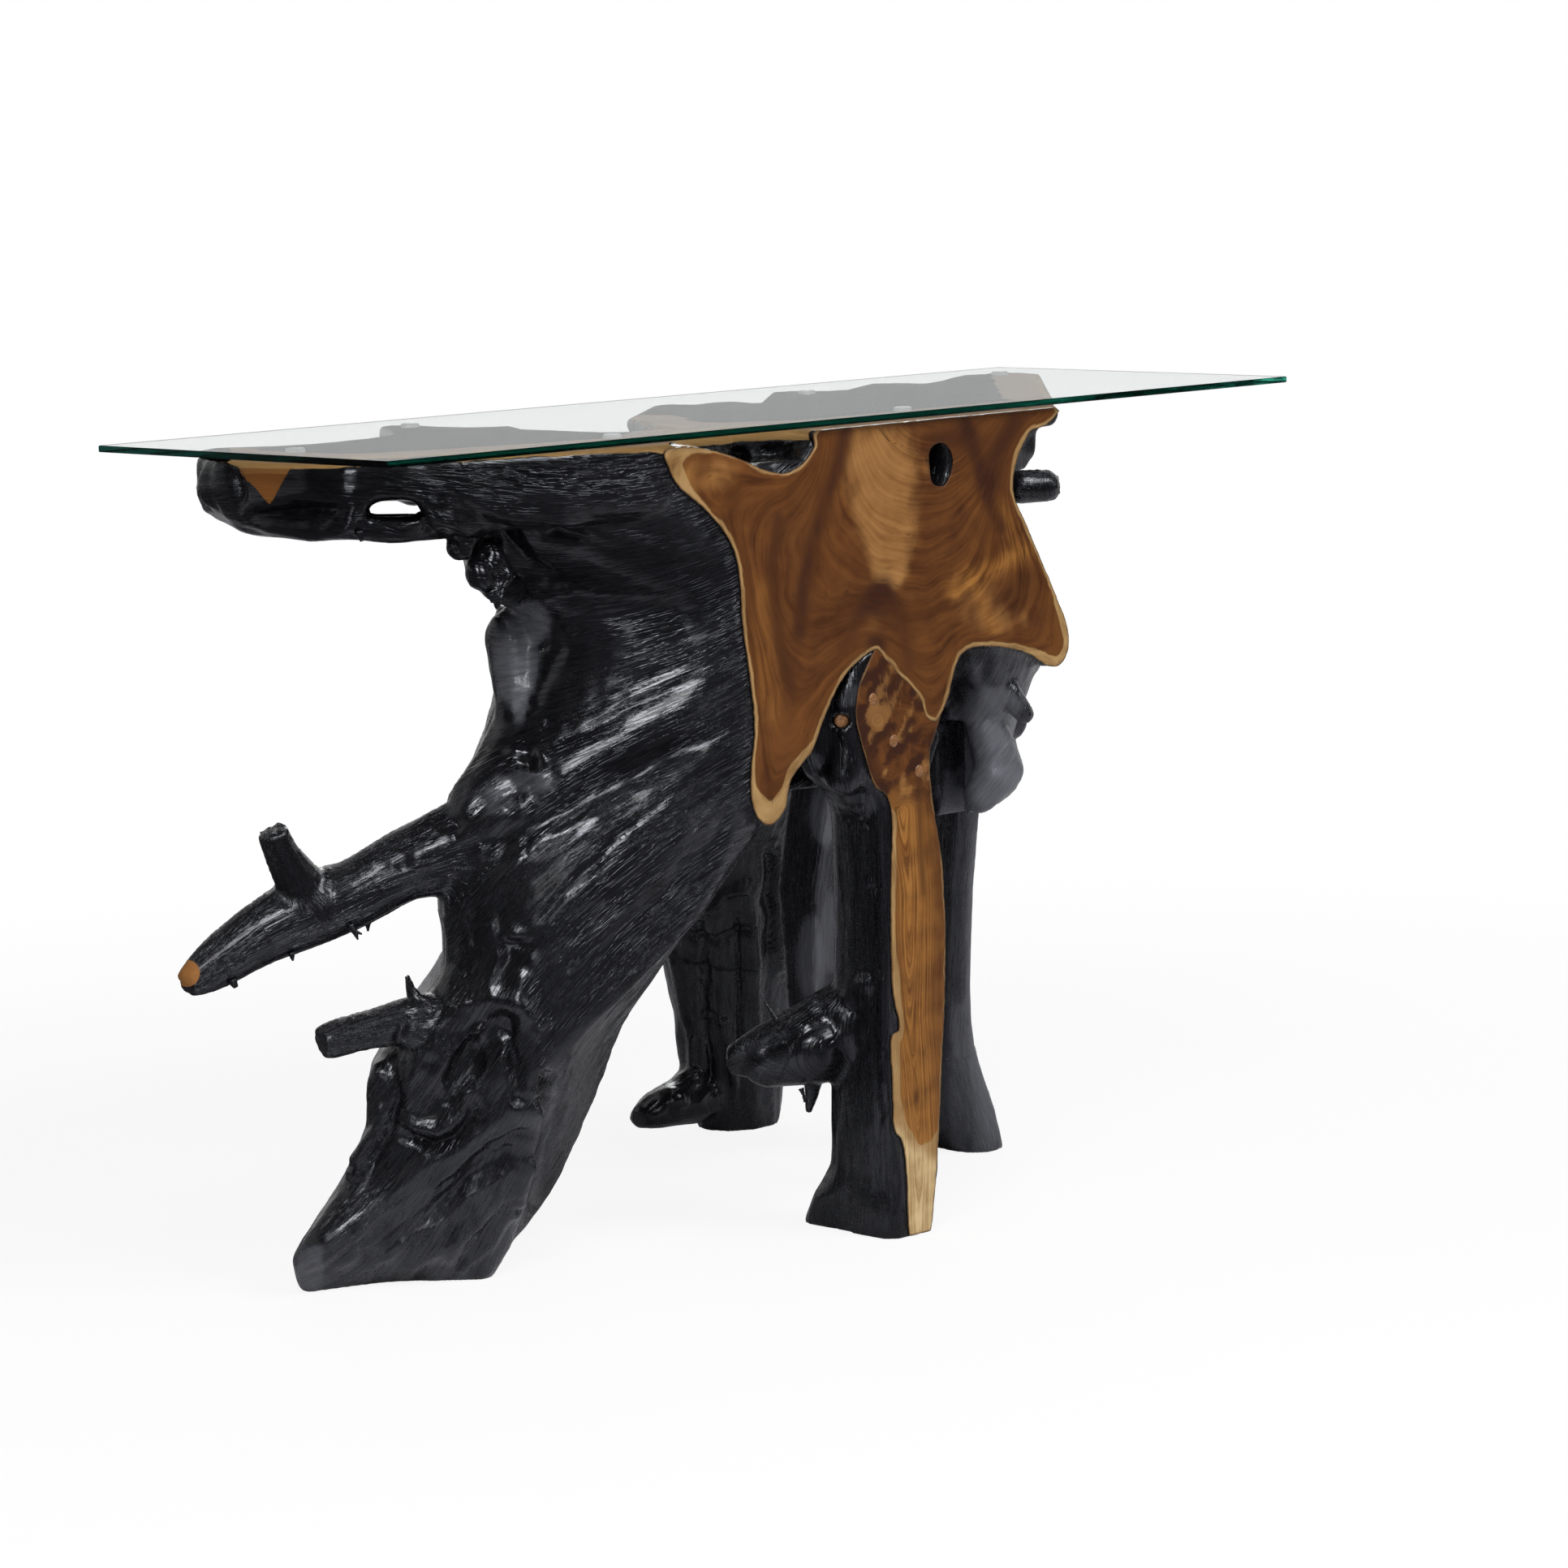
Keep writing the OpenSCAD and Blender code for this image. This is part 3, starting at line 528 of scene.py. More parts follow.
LEG_RIDGES = [
    ([(1030, 1000), (1058, 1012), (1092, 1000)], 8, -4), ([(1034, 985), (1060, 996), (1088, 985)], 6, 3),
    ([(1100, 1170), (1075, 1205), (1050, 1225)], 12, 2),
    ([(1060, 1290), (1030, 1340), (1022, 1400), (1016, 1450)], 9, -4),
    ([(930, 1300), (975, 1280), (1020, 1262)], 8, -3),
]
LEG_LUMPS = [
    (1081, 1093, 7, 6, -6), (1073, 1086, 6, 5, 4), (1062, 1196, 9, 6, -3), (1087, 1193, 6, 6, -3.5),
    (1040, 1228, 7, 6, 2), (1050, 1246, 10, 8, -3.5), (1068, 1210, 9, 7, 2),
]
REAR_RIDGES = [
    ([(830, 1180), (842, 1240), (856, 1330)], 5, 4), ([(866, 1130), (866, 1230), (876, 1340)], 5, -7),
    ([(885, 1120), (890, 1250), (905, 1345)], 7, 5), ([(908, 1130), (912, 1300)], 5, -7),
    ([(925, 1090), (935, 1290)], 6, 5), ([(946, 1050), (950, 1180)], 5, -8),
    ([(957, 1040), (960, 1200)], 6, 8), ([(868, 1125), (895, 1100), (925, 1088)], 6, 6),
    ([(850, 1150), (880, 1160), (930, 1140)], 5, -5), ([(860, 1250), (900, 1262)], 4, 4),
]
FLARE_RIDGES = [
    ([(1125, 860), (1180, 868), (1236, 905)], 14, -2), ([(1130, 825), (1190, 832), (1245, 850)], 12, 2),
]


def carved(co, n, ridges, lumps, right):
    """Height of the carved forms at every vertex that looks towards the front left."""
    facing = smoothstep(0.02, 0.35, np.sum(n * unit(EYE - co), axis=1))
    q = picture(co) + np.stack([noise(co / 40.0), noise(co / 40.0 + 31.7)], -1) * 4.0
    near = (facing > 0) & (q[:, 0] < right)
    s = q[near]
    h = np.zeros(len(s))
    for points, width, top in ridges:
        line = np.array(points, float)
        box = np.all((s > line.min(0) - 3 * width) & (s < line.max(0) + 3 * width), axis=1)
        if not box.any():
            continue
        ends = np.minimum(*(np.linalg.norm(s[box] - end, axis=1) for end in (line[0], line[-1])))
        length = np.linalg.norm(np.diff(line, axis=0), axis=1).sum()
        fade = smoothstep(-0.4 * width, min(1.6 * width, 0.3 * length + 2), ends)
        h[box] += top * stroke(s[box], line, width) * fade
    h += painted(s, lumps)
    height = np.zeros(len(co))
    height[near] = h
    return height * facing


def carve_with(*groups):
    """Each group: ridges, lumps and the right end of what they reach, in picture units."""
    return lambda co, n: sum(carved(co, n, *group) for group in groups)


# Round forms that are joined to a skin before it is evened out. Bars: picture point, depth and radius
# in millimetres at both ends. Bosses, in the layout frame: both ends and the radius. The one boss
# covers the dowel that stands open at the back of the seat of the rear leg.
EXTRA = {
    "stump": [
        ((606, 722, 4640, 11), (646, 738, 4790, 14)), ((652, 744, 4818, 15), (634, 786, 4816, 27)),
        ((634, 786, 4816, 27), (640, 850, 4810, 24)), ((640, 850, 4806, 22), (626, 905, 4800, 12)),
        ((1242, 852, 5066, 12), (1262, 880, 5076, 9)), ((1216, 895, 5092, 20), (1232, 948, 5102, 23)),
        ((1226, 955, 5099, 23), (1208, 980, 5100, 17)), ((1286, 599, 5116, 15.5), (1255, 600, 5108, 16)),
        ((270, 590, 4640, 17), (273, 612, 4640, 17)), ((446, 640, 4600, 5.5), (518, 640, 4600, 5.5)),
    ],
    "front_leg": [
        ((1062, 1262, 5036, 40), (1000, 1288, 5006, 38)), ((1000, 1288, 5006, 38), (950, 1301, 5008, 30)),
        ((950, 1301, 5008, 30), (908, 1308, 5012, 13)), ((908, 1308, 5012, 13), (888, 1311, 5014, 6)),
        ((1048, 905, 4900, 17), (1040, 955, 4905, 19)),
    ],
    "rear_leg": [((830, 1355, 5440, 14), (790, 1376, 5436, 10))],
}
BOSSES = {
    "stump": [((842, 308, 456), (842, 306, 510), 15)],
}
EXTRA_GAP = 0.3


def capsule(a, b, rings=8, turns=20):
    """A round bar with ball ends, from one (point, radius) to the other."""
    (pa, ra), (pb, rb) = a, b
    d = unit(pb - pa)
    u = side_of(d, (1.0, 0, 0))
    w = np.cross(d, u)
    verts = [[pa - d * ra]]
    for centre, r, first in ((pa, ra, -90), (pb, rb, 0)):
        for k in range(rings):
            t = math.radians(first + 90 * (k + (first < 0)) / rings)
            verts.append(ring_points(centre + d * (r * math.sin(t)), u, w, r * math.cos(t), turns))
    verts = np.concatenate(verts + [[pb + d * rb]])
    top = len(verts) - 1 - turns
    faces = [[0, 1 + (j + 1) % turns, 1 + j] for j in range(turns)] + tube_faces(1, 2 * rings, turns)
    faces += [[top + j, top + (j + 1) % turns, len(verts) - 1] for j in range(turns)]
    return verts, faces


def with_extra(mesh, node):
    """The mesh with the extra round forms of that node added as closed shells."""
    verts, faces = [read_co(mesh)], [list(f.vertices) for f in mesh.polygons]
    base = len(verts[0])
    bars = [[(place_at(*end[:3]), end[3]) for end in bar] for bar in EXTRA.get(node, [])]
    bars += [[(np.array(end, float), r) for end in (a, b)] for a, b, r in BOSSES.get(node, [])]
    for a, b in bars:
        v, f = capsule(a, b)
        verts.append(kept_in(v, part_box(node), EXTRA_GAP))
        faces += [[i + base for i in t] for t in f]
        base += len(v)
    out = bpy.data.meshes.new(mesh.name)
    out.from_pydata(table(np.concatenate(verts)).tolist(), [], faces)
    out.update()
    return out


# Spots of the stump: middle and half sizes in picture units, and strength. The underside of the beam is
# raised by millimetres; calm wood is smooth under its lacquer; on deep wood the grooves are deeper.
RAISED = [(266, 655, 30, 30, 9)]
CALM = [
    (770, 690, 190, 85, 1.3), (470, 620, 170, 60, 1.2), (800, 935, 150, 30, 1.0),
    (600, 1180, 60, 60, 0.6),
]
DEEP = [(545, 1495, 95, 62, 1.4), (770, 1060, 90, 70, 0.7)]

# Over how many millimetres from the front and from the level top the carving and the grooves set in, and
# how far a skin stays inside the box of its solid.
CARVE_IN = 34
GROOVE_IN = 14
TOP_IN = 8
SKIN_GAP = 0.2


def stump_calm(co):
    return np.clip(painted(picture(co), CALM), 0, 1)


def skin(node, voxel, passes, fields, ridge, groove, carve=None):
    """The skin of a root: its solid with the extra forms, evened out, carved and grooved."""
    o = placed(node + "_skin", with_extra(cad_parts[node].data, node))
    even = o.modifiers.new("even", "REMESH")
    even.mode = "VOXEL"
    even.voxel_size = voxel * MM
    evaluated(o)
    relax(o.data, passes)
    if node == "stump":
        co = read_co(o.data)
        co[:, 2] += painted(picture(co), RAISED)
        write_co(o.data, co)
    if carve:
        co, n = read_co(o.data), normals(o.data)
        step = n * carve(co, n)[:, None]
        step[flats(co)] = 0
        write_co(o.data, co + step * smoothstep(0, CARVE_IN, co[:, 1] - FRONT)[:, None])
    co, n = read_co(o.data), normals(o.data)
    qa, qb, w = fields(co, n)
    much = np.minimum(smoothstep(0, GROOVE_IN, co[:, 1] - FRONT), smoothstep(0, TOP_IN, TOP - co[:, 2]))
    if node == "stump":
        much = much * (1 - 0.6 * stump_calm(co)) * (1 + painted(picture(co), DEEP))
    step = n * (grooved(qa, qb, w, ridge, groove) * much)[:, None]
    step[flats(co)] = 0
    write_co(o.data, kept_in(co + step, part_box(node), SKIN_GAP))
    o.data.shade_smooth()
    set_grain(o, qa, qb, w)
    return o


# Sawn faces: their outlines in X and Z, and the knot hole as middle and half sizes.
FACE = [
    (339, 765), (370, 766), (400, 760), (431, 751), (462, 739), (491, 734), (515, 742), (529, 756),
    (532, 770), (590, 770), (680, 770), (780, 770), (862, 770), (862, 762), (845, 753), (827, 750),
    (815, 738), (808, 728), (800, 706), (802, 687), (816, 664), (830, 640), (842, 619), (859, 589),
    (873, 562), (876, 538), (864, 523), (846, 523), (816, 538), (781, 547), (747, 551), (724, 547),
    (713, 533), (703, 508), (690, 489), (684, 486), (672, 492), (662, 513), (634, 537), (617, 552),
    (604, 562), (573, 549), (551, 530), (530, 499), (517, 477), (500, 464), (487, 451), (479, 427),
    (461, 415), (446, 422), (437, 440), (437, 466), (441, 489), (443, 511), (439, 549), (434, 579),
    (430, 609), (429, 638), (424, 664), (413, 683), (398, 699), (378, 715), (354, 732), (342, 750),
]
LEG_FACE = [
    (661, 538), (645, 552), (626, 565), (609, 566), (592, 546), (581, 527), (577, 504), (582, 481),
    (592, 454), (600, 435), (616, 424), (623, 400), (620, 350), (618, 293), (619, 239), (627, 203),
    (615, 193), (616, 150), (617, 108), (628, 92), (633, 58), (635, 2), (650, 1), (664, 1), (671, 36),
    (679, 98), (685, 167), (690, 220), (693, 283), (692, 320), (690, 354), (678, 417), (676, 456),
    (685, 476), (692, 494), (686, 508), (674, 525),
]
KNOT_HOLE = (698, 727, 16.5, 22)
BEVEL = 0.7
LOWEST = 0.6  # how far a sawn face stays above the floor


def on_top(a, b):
    """Whether a side of an outline lies on the level top."""
    return abs(a[1] - TOP) < ON_PLANE and abs(b[1] - TOP) < ON_PLANE


def rounded(outline, step, wobble):
    """The outline with points every step millimetres, its corners a little softened."""
    p = np.array(outline, float)
    out = []
    for i in range(len(p)):
        a, b, c, d = p[i - 1], p[i], p[(i + 1) % len(p)], p[(i + 2) % len(p)]
        count = max(1, int(np.linalg.norm(c - b) / step))
        for t in np.arange(count) / count:
            if on_top(b, c):
                out.append(b + (c - b) * t)
                continue
            leave, arrive = (c - a) / 2, (d - b) / 2
            out.append((2 * t**3 - 3 * t**2 + 1) * b + (t**3 - 2 * t**2 + t) * leave
                       + (3 * t**2 - 2 * t**3) * c + (t**3 - t**2) * arrive)
    out = np.array(out)
    e = unit(np.roll(out, -1, 0) - np.roll(out, 1, 0))
    n = np.stack([-e[:, 1], e[:, 0]], -1)
    out = out + n * (wobble * plane_noise(out[:, 0] / 9.0, out[:, 1] / 9.0, 0.0, 3))[:, None]
    out[:, 1] = np.clip(out[:, 1], LOWEST, TOP)
    return out


def inside(outline, p):
    x, y = p[:, 0], p[:, 1]
    odd = np.zeros(len(p), bool)
    for (x0, y0), (x1, y1) in zip(outline, np.roll(outline, -1, axis=0)):
        if y0 == y1:
            continue
        cross = (y0 > y) != (y1 > y)
        odd ^= cross & (x < (x1 - x0) * (y - y0) / (y1 - y0) + x0)
    return odd


def outline_distance(outline, p, free_top=False):
    """Distance of points from a closed outline, or from what of it does not lie on the level top."""
    best = np.full(len(p), 1e9)
    for a, b in zip(outline, np.roll(outline, -1, axis=0)):
        if not (free_top and on_top(a, b)):
            best = np.minimum(best, segment_distance(p, a, b))
    return best


def grid_over(low, step, counts):
    axes = [low[k] + step * np.arange(counts[k]) for k in range(2)]
    return np.meshgrid(*axes, indexing="ij")


def ring_field(outline, free_top, cell=4.0, passes=900):
    """A smooth dome over the outline, zero on its natural edge, whose level lines are the growth rings."""
    low = outline.min(0) - cell
    nx, nz = (np.ceil((outline.max(0) - low) / cell).astype(int) + 2)
    gx, gz = grid_over(low, cell, (nx, nz))
    solid = inside(outline, np.column_stack([gx.ravel(), gz.ravel()])).reshape(nx, nz)
    f = np.zeros((nx, nz))
    source = (cell / 60.0) ** 2
    if free_top:
        top = solid & (gz + cell > TOP - 0.5)
        span = gx[top]
        middle, half = (span.max() + span.min()) / 2, (span.max() - span.min()) / 2 + cell
        held = 3.4 * (1 - np.abs((gx - middle) / half) ** 1.7)
    for k in range(passes):
        g = np.pad(f, 1, mode="edge")
        f = np.where(solid, (g[2:, 1:-1] + g[:-2, 1:-1] + g[1:-1, 2:] + g[1:-1, :-2] + source) / 4, 0)
        if free_top:
            f = np.where(top, held, f)

    def sample(p):
        u = np.clip((p - low) / cell, 0, [nx - 1.001, nz - 1.001])
        x, z = u.astype(int).T
        tx, tz = (u - u.astype(int)).T
        near, far = (f[x, k] * (1 - tx) + f[x + 1, k] * tx for k in (z, z + 1))
        return near * (1 - tz) + far * tz
    return sample


def sheet_mesh(rim, hole, step):
    """Flat triangles between an outline and the loop of its hole, facing the front."""
    low, high = rim.min(0), rim.max(0)
    gx, gz = grid_over(low, step, np.ceil((high - low) / step).astype(int))
    grid = np.column_stack([gx.ravel(), gz.ravel()])
    grid = grid[inside(rim, grid) & (outline_distance(rim, grid) > step * 0.6)]
    loops = [list(range(len(rim)))]
    if len(hole):
        grid = grid[(outline_distance(hole, grid) > step * 0.6) & ~inside(hole, grid)]
        loops.append(list(range(len(rim), len(rim) + len(hole)))[::-1])
    edges = [pair for loop in loops for pair in zip(loop, loop[1:] + loop[:1])]
    points = [Vector(p) for part in (rim, hole, grid) for p in part]
    v, _, f, *_ = delaunay_2d_cdt(points, edges, [], 0, 1e-5)
    v = np.array([tuple(p) for p in v])
    centre = np.array([v[list(t)].mean(0) for t in f])
    keep = inside(rim, centre)
    if len(hole):
        keep &= ~inside(hole, centre)
    f = [t for t, k in zip(f, keep) if k]
    used = sorted(set(i for t in f for i in t))
    index = {i: k for k, i in enumerate(used)}
    v = v[used]
    f = [[index[i] for i in t] for t in f]
    (ax, az), (bx, bz) = v[f[0][1]] - v[f[0][0]], v[f[0][2]] - v[f[0][0]]
    if ax * bz - az * bx < 0:
        f = [t[::-1] for t in f]
    return v, f


def knot_loop(x, z, rx, rz):
    """The loop of the knot hole, a little off round."""
    t = np.linspace(0, 2 * np.pi, 44, endpoint=False)
    return np.column_stack([x + rx * np.cos(t) * (1 + 0.10 * np.sin(3 * t + 1)),
                            z + rz * np.sin(t) * (1 + 0.08 * np.cos(2 * t))])


def plate(name, outline, proud, thick, hole=(), free_top=True, step=3.0, wobble=0.6):
    """A sawn face: exact outline, fine inside mesh, thin rim. Second slot is the rim."""
    rim = rounded(outline, step, wobble)
    v, f = sheet_mesh(rim, knot_loop(*hole) if hole else np.zeros((0, 2)), step)
    sides = [pair for t in f for pair in zip(t, t[1:] + t[:1])]
    known = set(sides)
    border = [(a, b) for a, b in sides if (b, a) not in known]
    ids = sorted(set(i for pair in border for i in pair))
    back = {i: len(v) + k for k, i in enumerate(ids)}
    mid = {i: len(v) + len(ids) + k for k, i in enumerate(ids)}
    verts = [np.insert(points, 1, FRONT - proud + behind, axis=1)
             for points, behind in ((v, 0), (v[ids], thick), (v[ids], BEVEL))]
    faces = list(f)
    for a, b in border:
        faces.append([b, a, mid[a], mid[b]])
        faces.append([mid[b], mid[a], back[a], back[b]])
    o = new_object(name, np.concatenate(verts), faces)
    for k in range(len(f), len(faces)):
        o.data.polygons[k].material_index = (k - len(f)) % 2
        o.data.polygons[k].use_smooth = False
    p = read_co(o.data)[:, [0, 2]]
    dome = ring_field(rim, free_top)(p)
    set_float(o, "rings", 85.0 * np.sqrt(np.maximum(dome.max() * 1.03 - dome, 0)))
    set_float(o, "edge", outline_distance(rim, p, free_top))
    return o


# Materials.
class Nodes:
    """A short way to write the node tree of a material or of the world."""

    def __init__(self, owner, output="ShaderNodeOutputMaterial"):
        owner.use_nodes = True
        self.owner = owner
        self.tree = owner.node_tree
        self.tree.nodes.clear()
        self.out = self.add(output)

    def add(self, kind, **settings):
        n = self.tree.nodes.new(kind)
        for k, v in settings.items():
            setattr(n, k, v)
        return n

    def put(self, socket, value):
        if isinstance(value, bpy.types.NodeSocket):
            self.tree.links.new(value, socket)
        elif value is not None:
            socket.default_value = value

    def filled(self, node, values):
        """The node with values put into its inputs, by name or by number."""
        for key, value in values.items():
            self.put(node.inputs[key], value)
        return node

    def attribute(self, name, kind="Fac"):
        return self.add("ShaderNodeAttribute", attribute_name=name).outputs[kind]

    def place(self, kind="Object"):
        return self.add("ShaderNodeTexCoord").outputs[kind]

    def axes(self, vector):
        return self.filled(self.add("ShaderNodeSeparateXYZ"), {0: vector}).outputs

    def noise(self, vector, scale=1.0, detail=2.0, rough=0.5, distortion=0.0):
        values = {"Vector": vector, "Scale": scale, "Detail": detail, "Roughness": rough}
        values["Distortion"] = distortion
        return self.filled(self.add("ShaderNodeTexNoise"), values).outputs["Fac"]

    def math(self, kind, a, b=None):
        return self.filled(self.add("ShaderNodeMath", operation=kind), {0: a, 1: b}).outputs[0]

    def times(self, a, b):
        return self.math("MULTIPLY", a, b)

    def plus(self, first, *others):
        for other in others:
            first = self.math("ADD", first, other)
        return first

    def swing(self, value, size):
        """A noise value about its middle: between half the size below and above zero."""
        return self.times(self.math("SUBTRACT", value, 0.5), size)

    def vmath(self, kind, a, b=None, output="Vector"):
        return self.filled(self.add("ShaderNodeVectorMath", operation=kind), {0: a, 1: b}).outputs[output]

    def ramp(self, value, low, high, a=0.0, b=1.0):
        values = {"Value": value, "From Min": low, "From Max": high, "To Min": a, "To Max": b}
        return self.filled(self.add("ShaderNodeMapRange", interpolation_type="SMOOTHSTEP"), values).outputs[0]

    def mix(self, factor, a, b):
        return self.filled(self.add("ShaderNodeMix", data_type="RGBA"), {0: factor, 6: a, 7: b}).outputs[2]

    def tone(self, factor, dark, light):
        """A mix of two colours that are given as 8-bit values."""
        return self.mix(factor, srgb(*dark), srgb(*light))

    def blend(self, factor, a, b):
        return self.filled(self.add("ShaderNodeMix", data_type="FLOAT"), {0: factor, 2: a, 3: b}).outputs[0]

    def bump(self, height, distance, strength=1.0, normal=None):
        values = {"Height": height, "Distance": distance, "Strength": strength, "Normal": normal}
        return self.filled(self.add("ShaderNodeBump"), values).outputs[0]

    def shader(self, kind, **inputs):
        return self.filled(self.add(kind), {k.replace("_", " "): v for k, v in inputs.items()}).outputs[0]

    def principled(self, **inputs):
        return self.shader("ShaderNodeBsdfPrincipled", **inputs)

    def shared(self, share, a, b):
        """Two shaders, the second by its share."""
        return self.filled(self.add("ShaderNodeMixShader"), {0: share, 1: a, 2: b}).outputs[0]

    def finish(self, shader):
        self.put(self.out.inputs["Surface"], shader)
        return self.owner


def material(name):
    return Nodes(bpy.data.materials.new(name))


def srgb(*levels):
    """A colour for a node from 8-bit values."""
    parts = [level / 255 for level in levels]
    return tuple(c / 12.92 if c <= 0.04045 else ((c + 0.055) / 1.055) ** 2.4 for c in parts) + (1.0,)


def black_shader(m):
    """Black lacquer over grooved wood, greyed by a painted sheen where its attribute says so, which stands in
    for reflections of the bright studio, and without gloss where matt.
    """
    qa, qb, w = m.attribute("qa", "Vector"), m.attribute("qb", "Vector"), m.attribute("w")
    painted_sheen, calm = m.attribute("painted_sheen"), m.attribute("calm")

    def both(stretch, rough, distortion=0.0):
        a, b = (m.noise(m.vmath("MULTIPLY", q, stretch), 1.0, 2.0, rough, distortion) for q in (qa, qb))
        return m.blend(w, a, b)

    fine = both((1.8, 1.0, 1.0), 0.6, 0.1)
    hair = both((2.4, 2.8, 2.8), 0.65)
    broad = both((0.35, 0.6, 0.6), 0.55)
    lines = m.ramp(m.math("ABSOLUTE", m.math("SUBTRACT", fine, 0.5)), 0.0, 0.06)
    grit = m.noise(m.place(), 520.0, 2.0, 0.6)
    patch = m.noise(m.place(), 11.0, 3.0, 0.6)
    height = m.plus(m.times(lines, 0.40), m.times(fine, 0.45), m.times(broad, 0.6), m.times(hair, 0.42))
    worn = m.ramp(patch, 0.40, 0.62)
    still = m.times(m.ramp(painted_sheen, 0.0, 1.0, 1.0, 0.45), m.ramp(calm, 0.0, 1.0, 1.0, 0.6))
    normal = m.bump(height, 0.0015, m.times(m.blend(worn, 0.6, 1.0), still))
    normal = m.bump(grit, 0.00025, m.times(m.blend(worn, 0.3, 0.7), still), normal)
    # Painted shade: the black is a little darker along the grooves and in the low parts of the broad swells.
    shade = m.times(lines, m.ramp(broad, 0.3, 0.7, 0.5, 1.0))
    colour = m.mix(shade, (0.0016, 0.0016, 0.0020, 1), (0.0056, 0.0056, 0.0068, 1))
    # Painted sheen: a soft grey in place of the reflections of the bright studio and of highlights.
    sheen_grey = m.mix(m.ramp(hair, 0.3, 0.7), (0.066, 0.067, 0.077, 1), (0.112, 0.114, 0.132, 1))
    rough = m.plus(m.ramp(grit, 0.3, 0.7, 0.17, 0.30), m.swing(patch, 0.22),
                   m.times(m.math("SUBTRACT", painted_sheen, calm), m.ramp(painted_sheen, 0.0, 0.5, 0.07, 0.2)))
    gloss = m.times(m.ramp(m.attribute("matt"), 0.0, 1.0, 1.0, 0.0), m.ramp(calm, 0.0, 1.0, 1.0, 0.55))
    return m.principled(Base_Color=m.mix(painted_sheen, colour, sheen_grey), Roughness=rough, Normal=normal,
                        Specular_Tint=(0.88, 0.90, 1.0, 1), Specular_IOR_Level=m.times(gloss, 0.5),
                        Coat_Weight=m.times(gloss, 0.25), Coat_Roughness=0.12)


def sawn_wood(m, rings):
    """Sawn wood: fine growth rings that follow the outline, in brown heartwood."""
    place = m.place()
    warp = m.noise(place, 9.0, 2.0, 0.5)
    soft = m.noise(place, 38.0, 2.0, 0.5)
    field = m.plus(rings, m.swing(warp, 14.0))
    x, _, z = m.axes(place)

    def sheet(across, along, detail, rough):
        parts = {0: m.times(field, across), 1: m.times(x, along), 2: m.times(z, along)}
        return m.noise(m.filled(m.add("ShaderNodeCombineXYZ"), parts).outputs[0], 1.0, detail, rough)

    streak = sheet(0.62, 9.0, 4.0, 0.68)
    wide = sheet(0.09, 7.0, 3.0, 0.5)
    tone = m.plus(m.swing(streak, 1.0), m.swing(wide, 0.5), m.swing(soft, 0.45))
    heart = m.tone(m.ramp(tone, -0.42, 0.36), (51, 24, 9), (101, 60, 24))
    return SimpleNamespace(heart=heart, tone=tone, streak=streak, warp=warp, soft=soft, sheet=sheet)


def natural_wood():
    """The sawn faces: heartwood with pale, orange and dark places, a sapwood border, pores and cracks."""
    m = material("sawn_wood")
    edge, pale = m.attribute("edge"), m.attribute("pale")
    wood = sawn_wood(m, m.attribute("rings"))
    streak, soft = wood.streak, wood.soft

    def flecked(much, low, high, start=0.0):
        return m.ramp(m.plus(streak, m.times(soft, much)), low, high, start, 1.0)

    light = m.tone(m.ramp(wood.tone, -0.45, 0.4), (106, 68, 33), (147, 106, 60))
    heart = m.mix(m.ramp(m.plus(pale, m.swing(soft, 0.5)), 0.25, 0.75), wood.heart, light)
    blaze = m.ramp(m.plus(streak, m.swing(soft, 0.5)), 0.3, 0.62, 0.25, 1.0)
    orange = m.tone(m.ramp(streak, 0.3, 0.7), (117, 73, 27), (149, 101, 47))
    heart = m.mix(m.times(m.attribute("orange"), blaze), heart, orange)
    dark = m.times(m.attribute("dark"), flecked(0.5, 0.55, 0.85, 0.35))
    heart = m.mix(m.ramp(dark, 0.0, 0.9), heart, srgb(52, 26, 14))
    border = m.math("SUBTRACT", m.plus(edge, m.swing(soft, 8.0)), m.attribute("sap"))
    sapwood = m.tone(flecked(0.6, 0.5, 1.05), (112, 81, 45), (160, 129, 85))
    bleached = m.tone(flecked(0.5, 0.55, 0.95), (146, 113, 70), (200, 175, 131))
    sapwood = m.mix(m.ramp(pale, 0.75, 1.1), sapwood, bleached)
    colour = m.mix(m.ramp(border, 1.4, -1.0), heart, sapwood)
    colour = m.mix(m.ramp(edge, 1.5, 0.2, 0.0, 0.75), colour, srgb(84, 58, 36))
    pores = wood.sheet(1.6, 70.0, 2.0, 0.6)
    colour = m.mix(m.ramp(pores, 0.60, 0.78, 0.0, 0.45), colour, srgb(46, 25, 14))
    colour = m.mix(m.ramp(m.attribute("crack"), 1.0, 0.3, 0.0, 0.9), colour, srgb(30, 16, 10))
    normal = m.bump(m.plus(m.times(pores, 0.6), streak), 0.0002, 0.3)
    return m.finish(m.principled(Base_Color=colour, Roughness=m.ramp(streak, 0.2, 0.8, 0.40, 0.54),
                                 Normal=normal, Specular_IOR_Level=0.16))


def black_root():
    m = material("black_root_finish")
    return m.finish(black_shader(m))


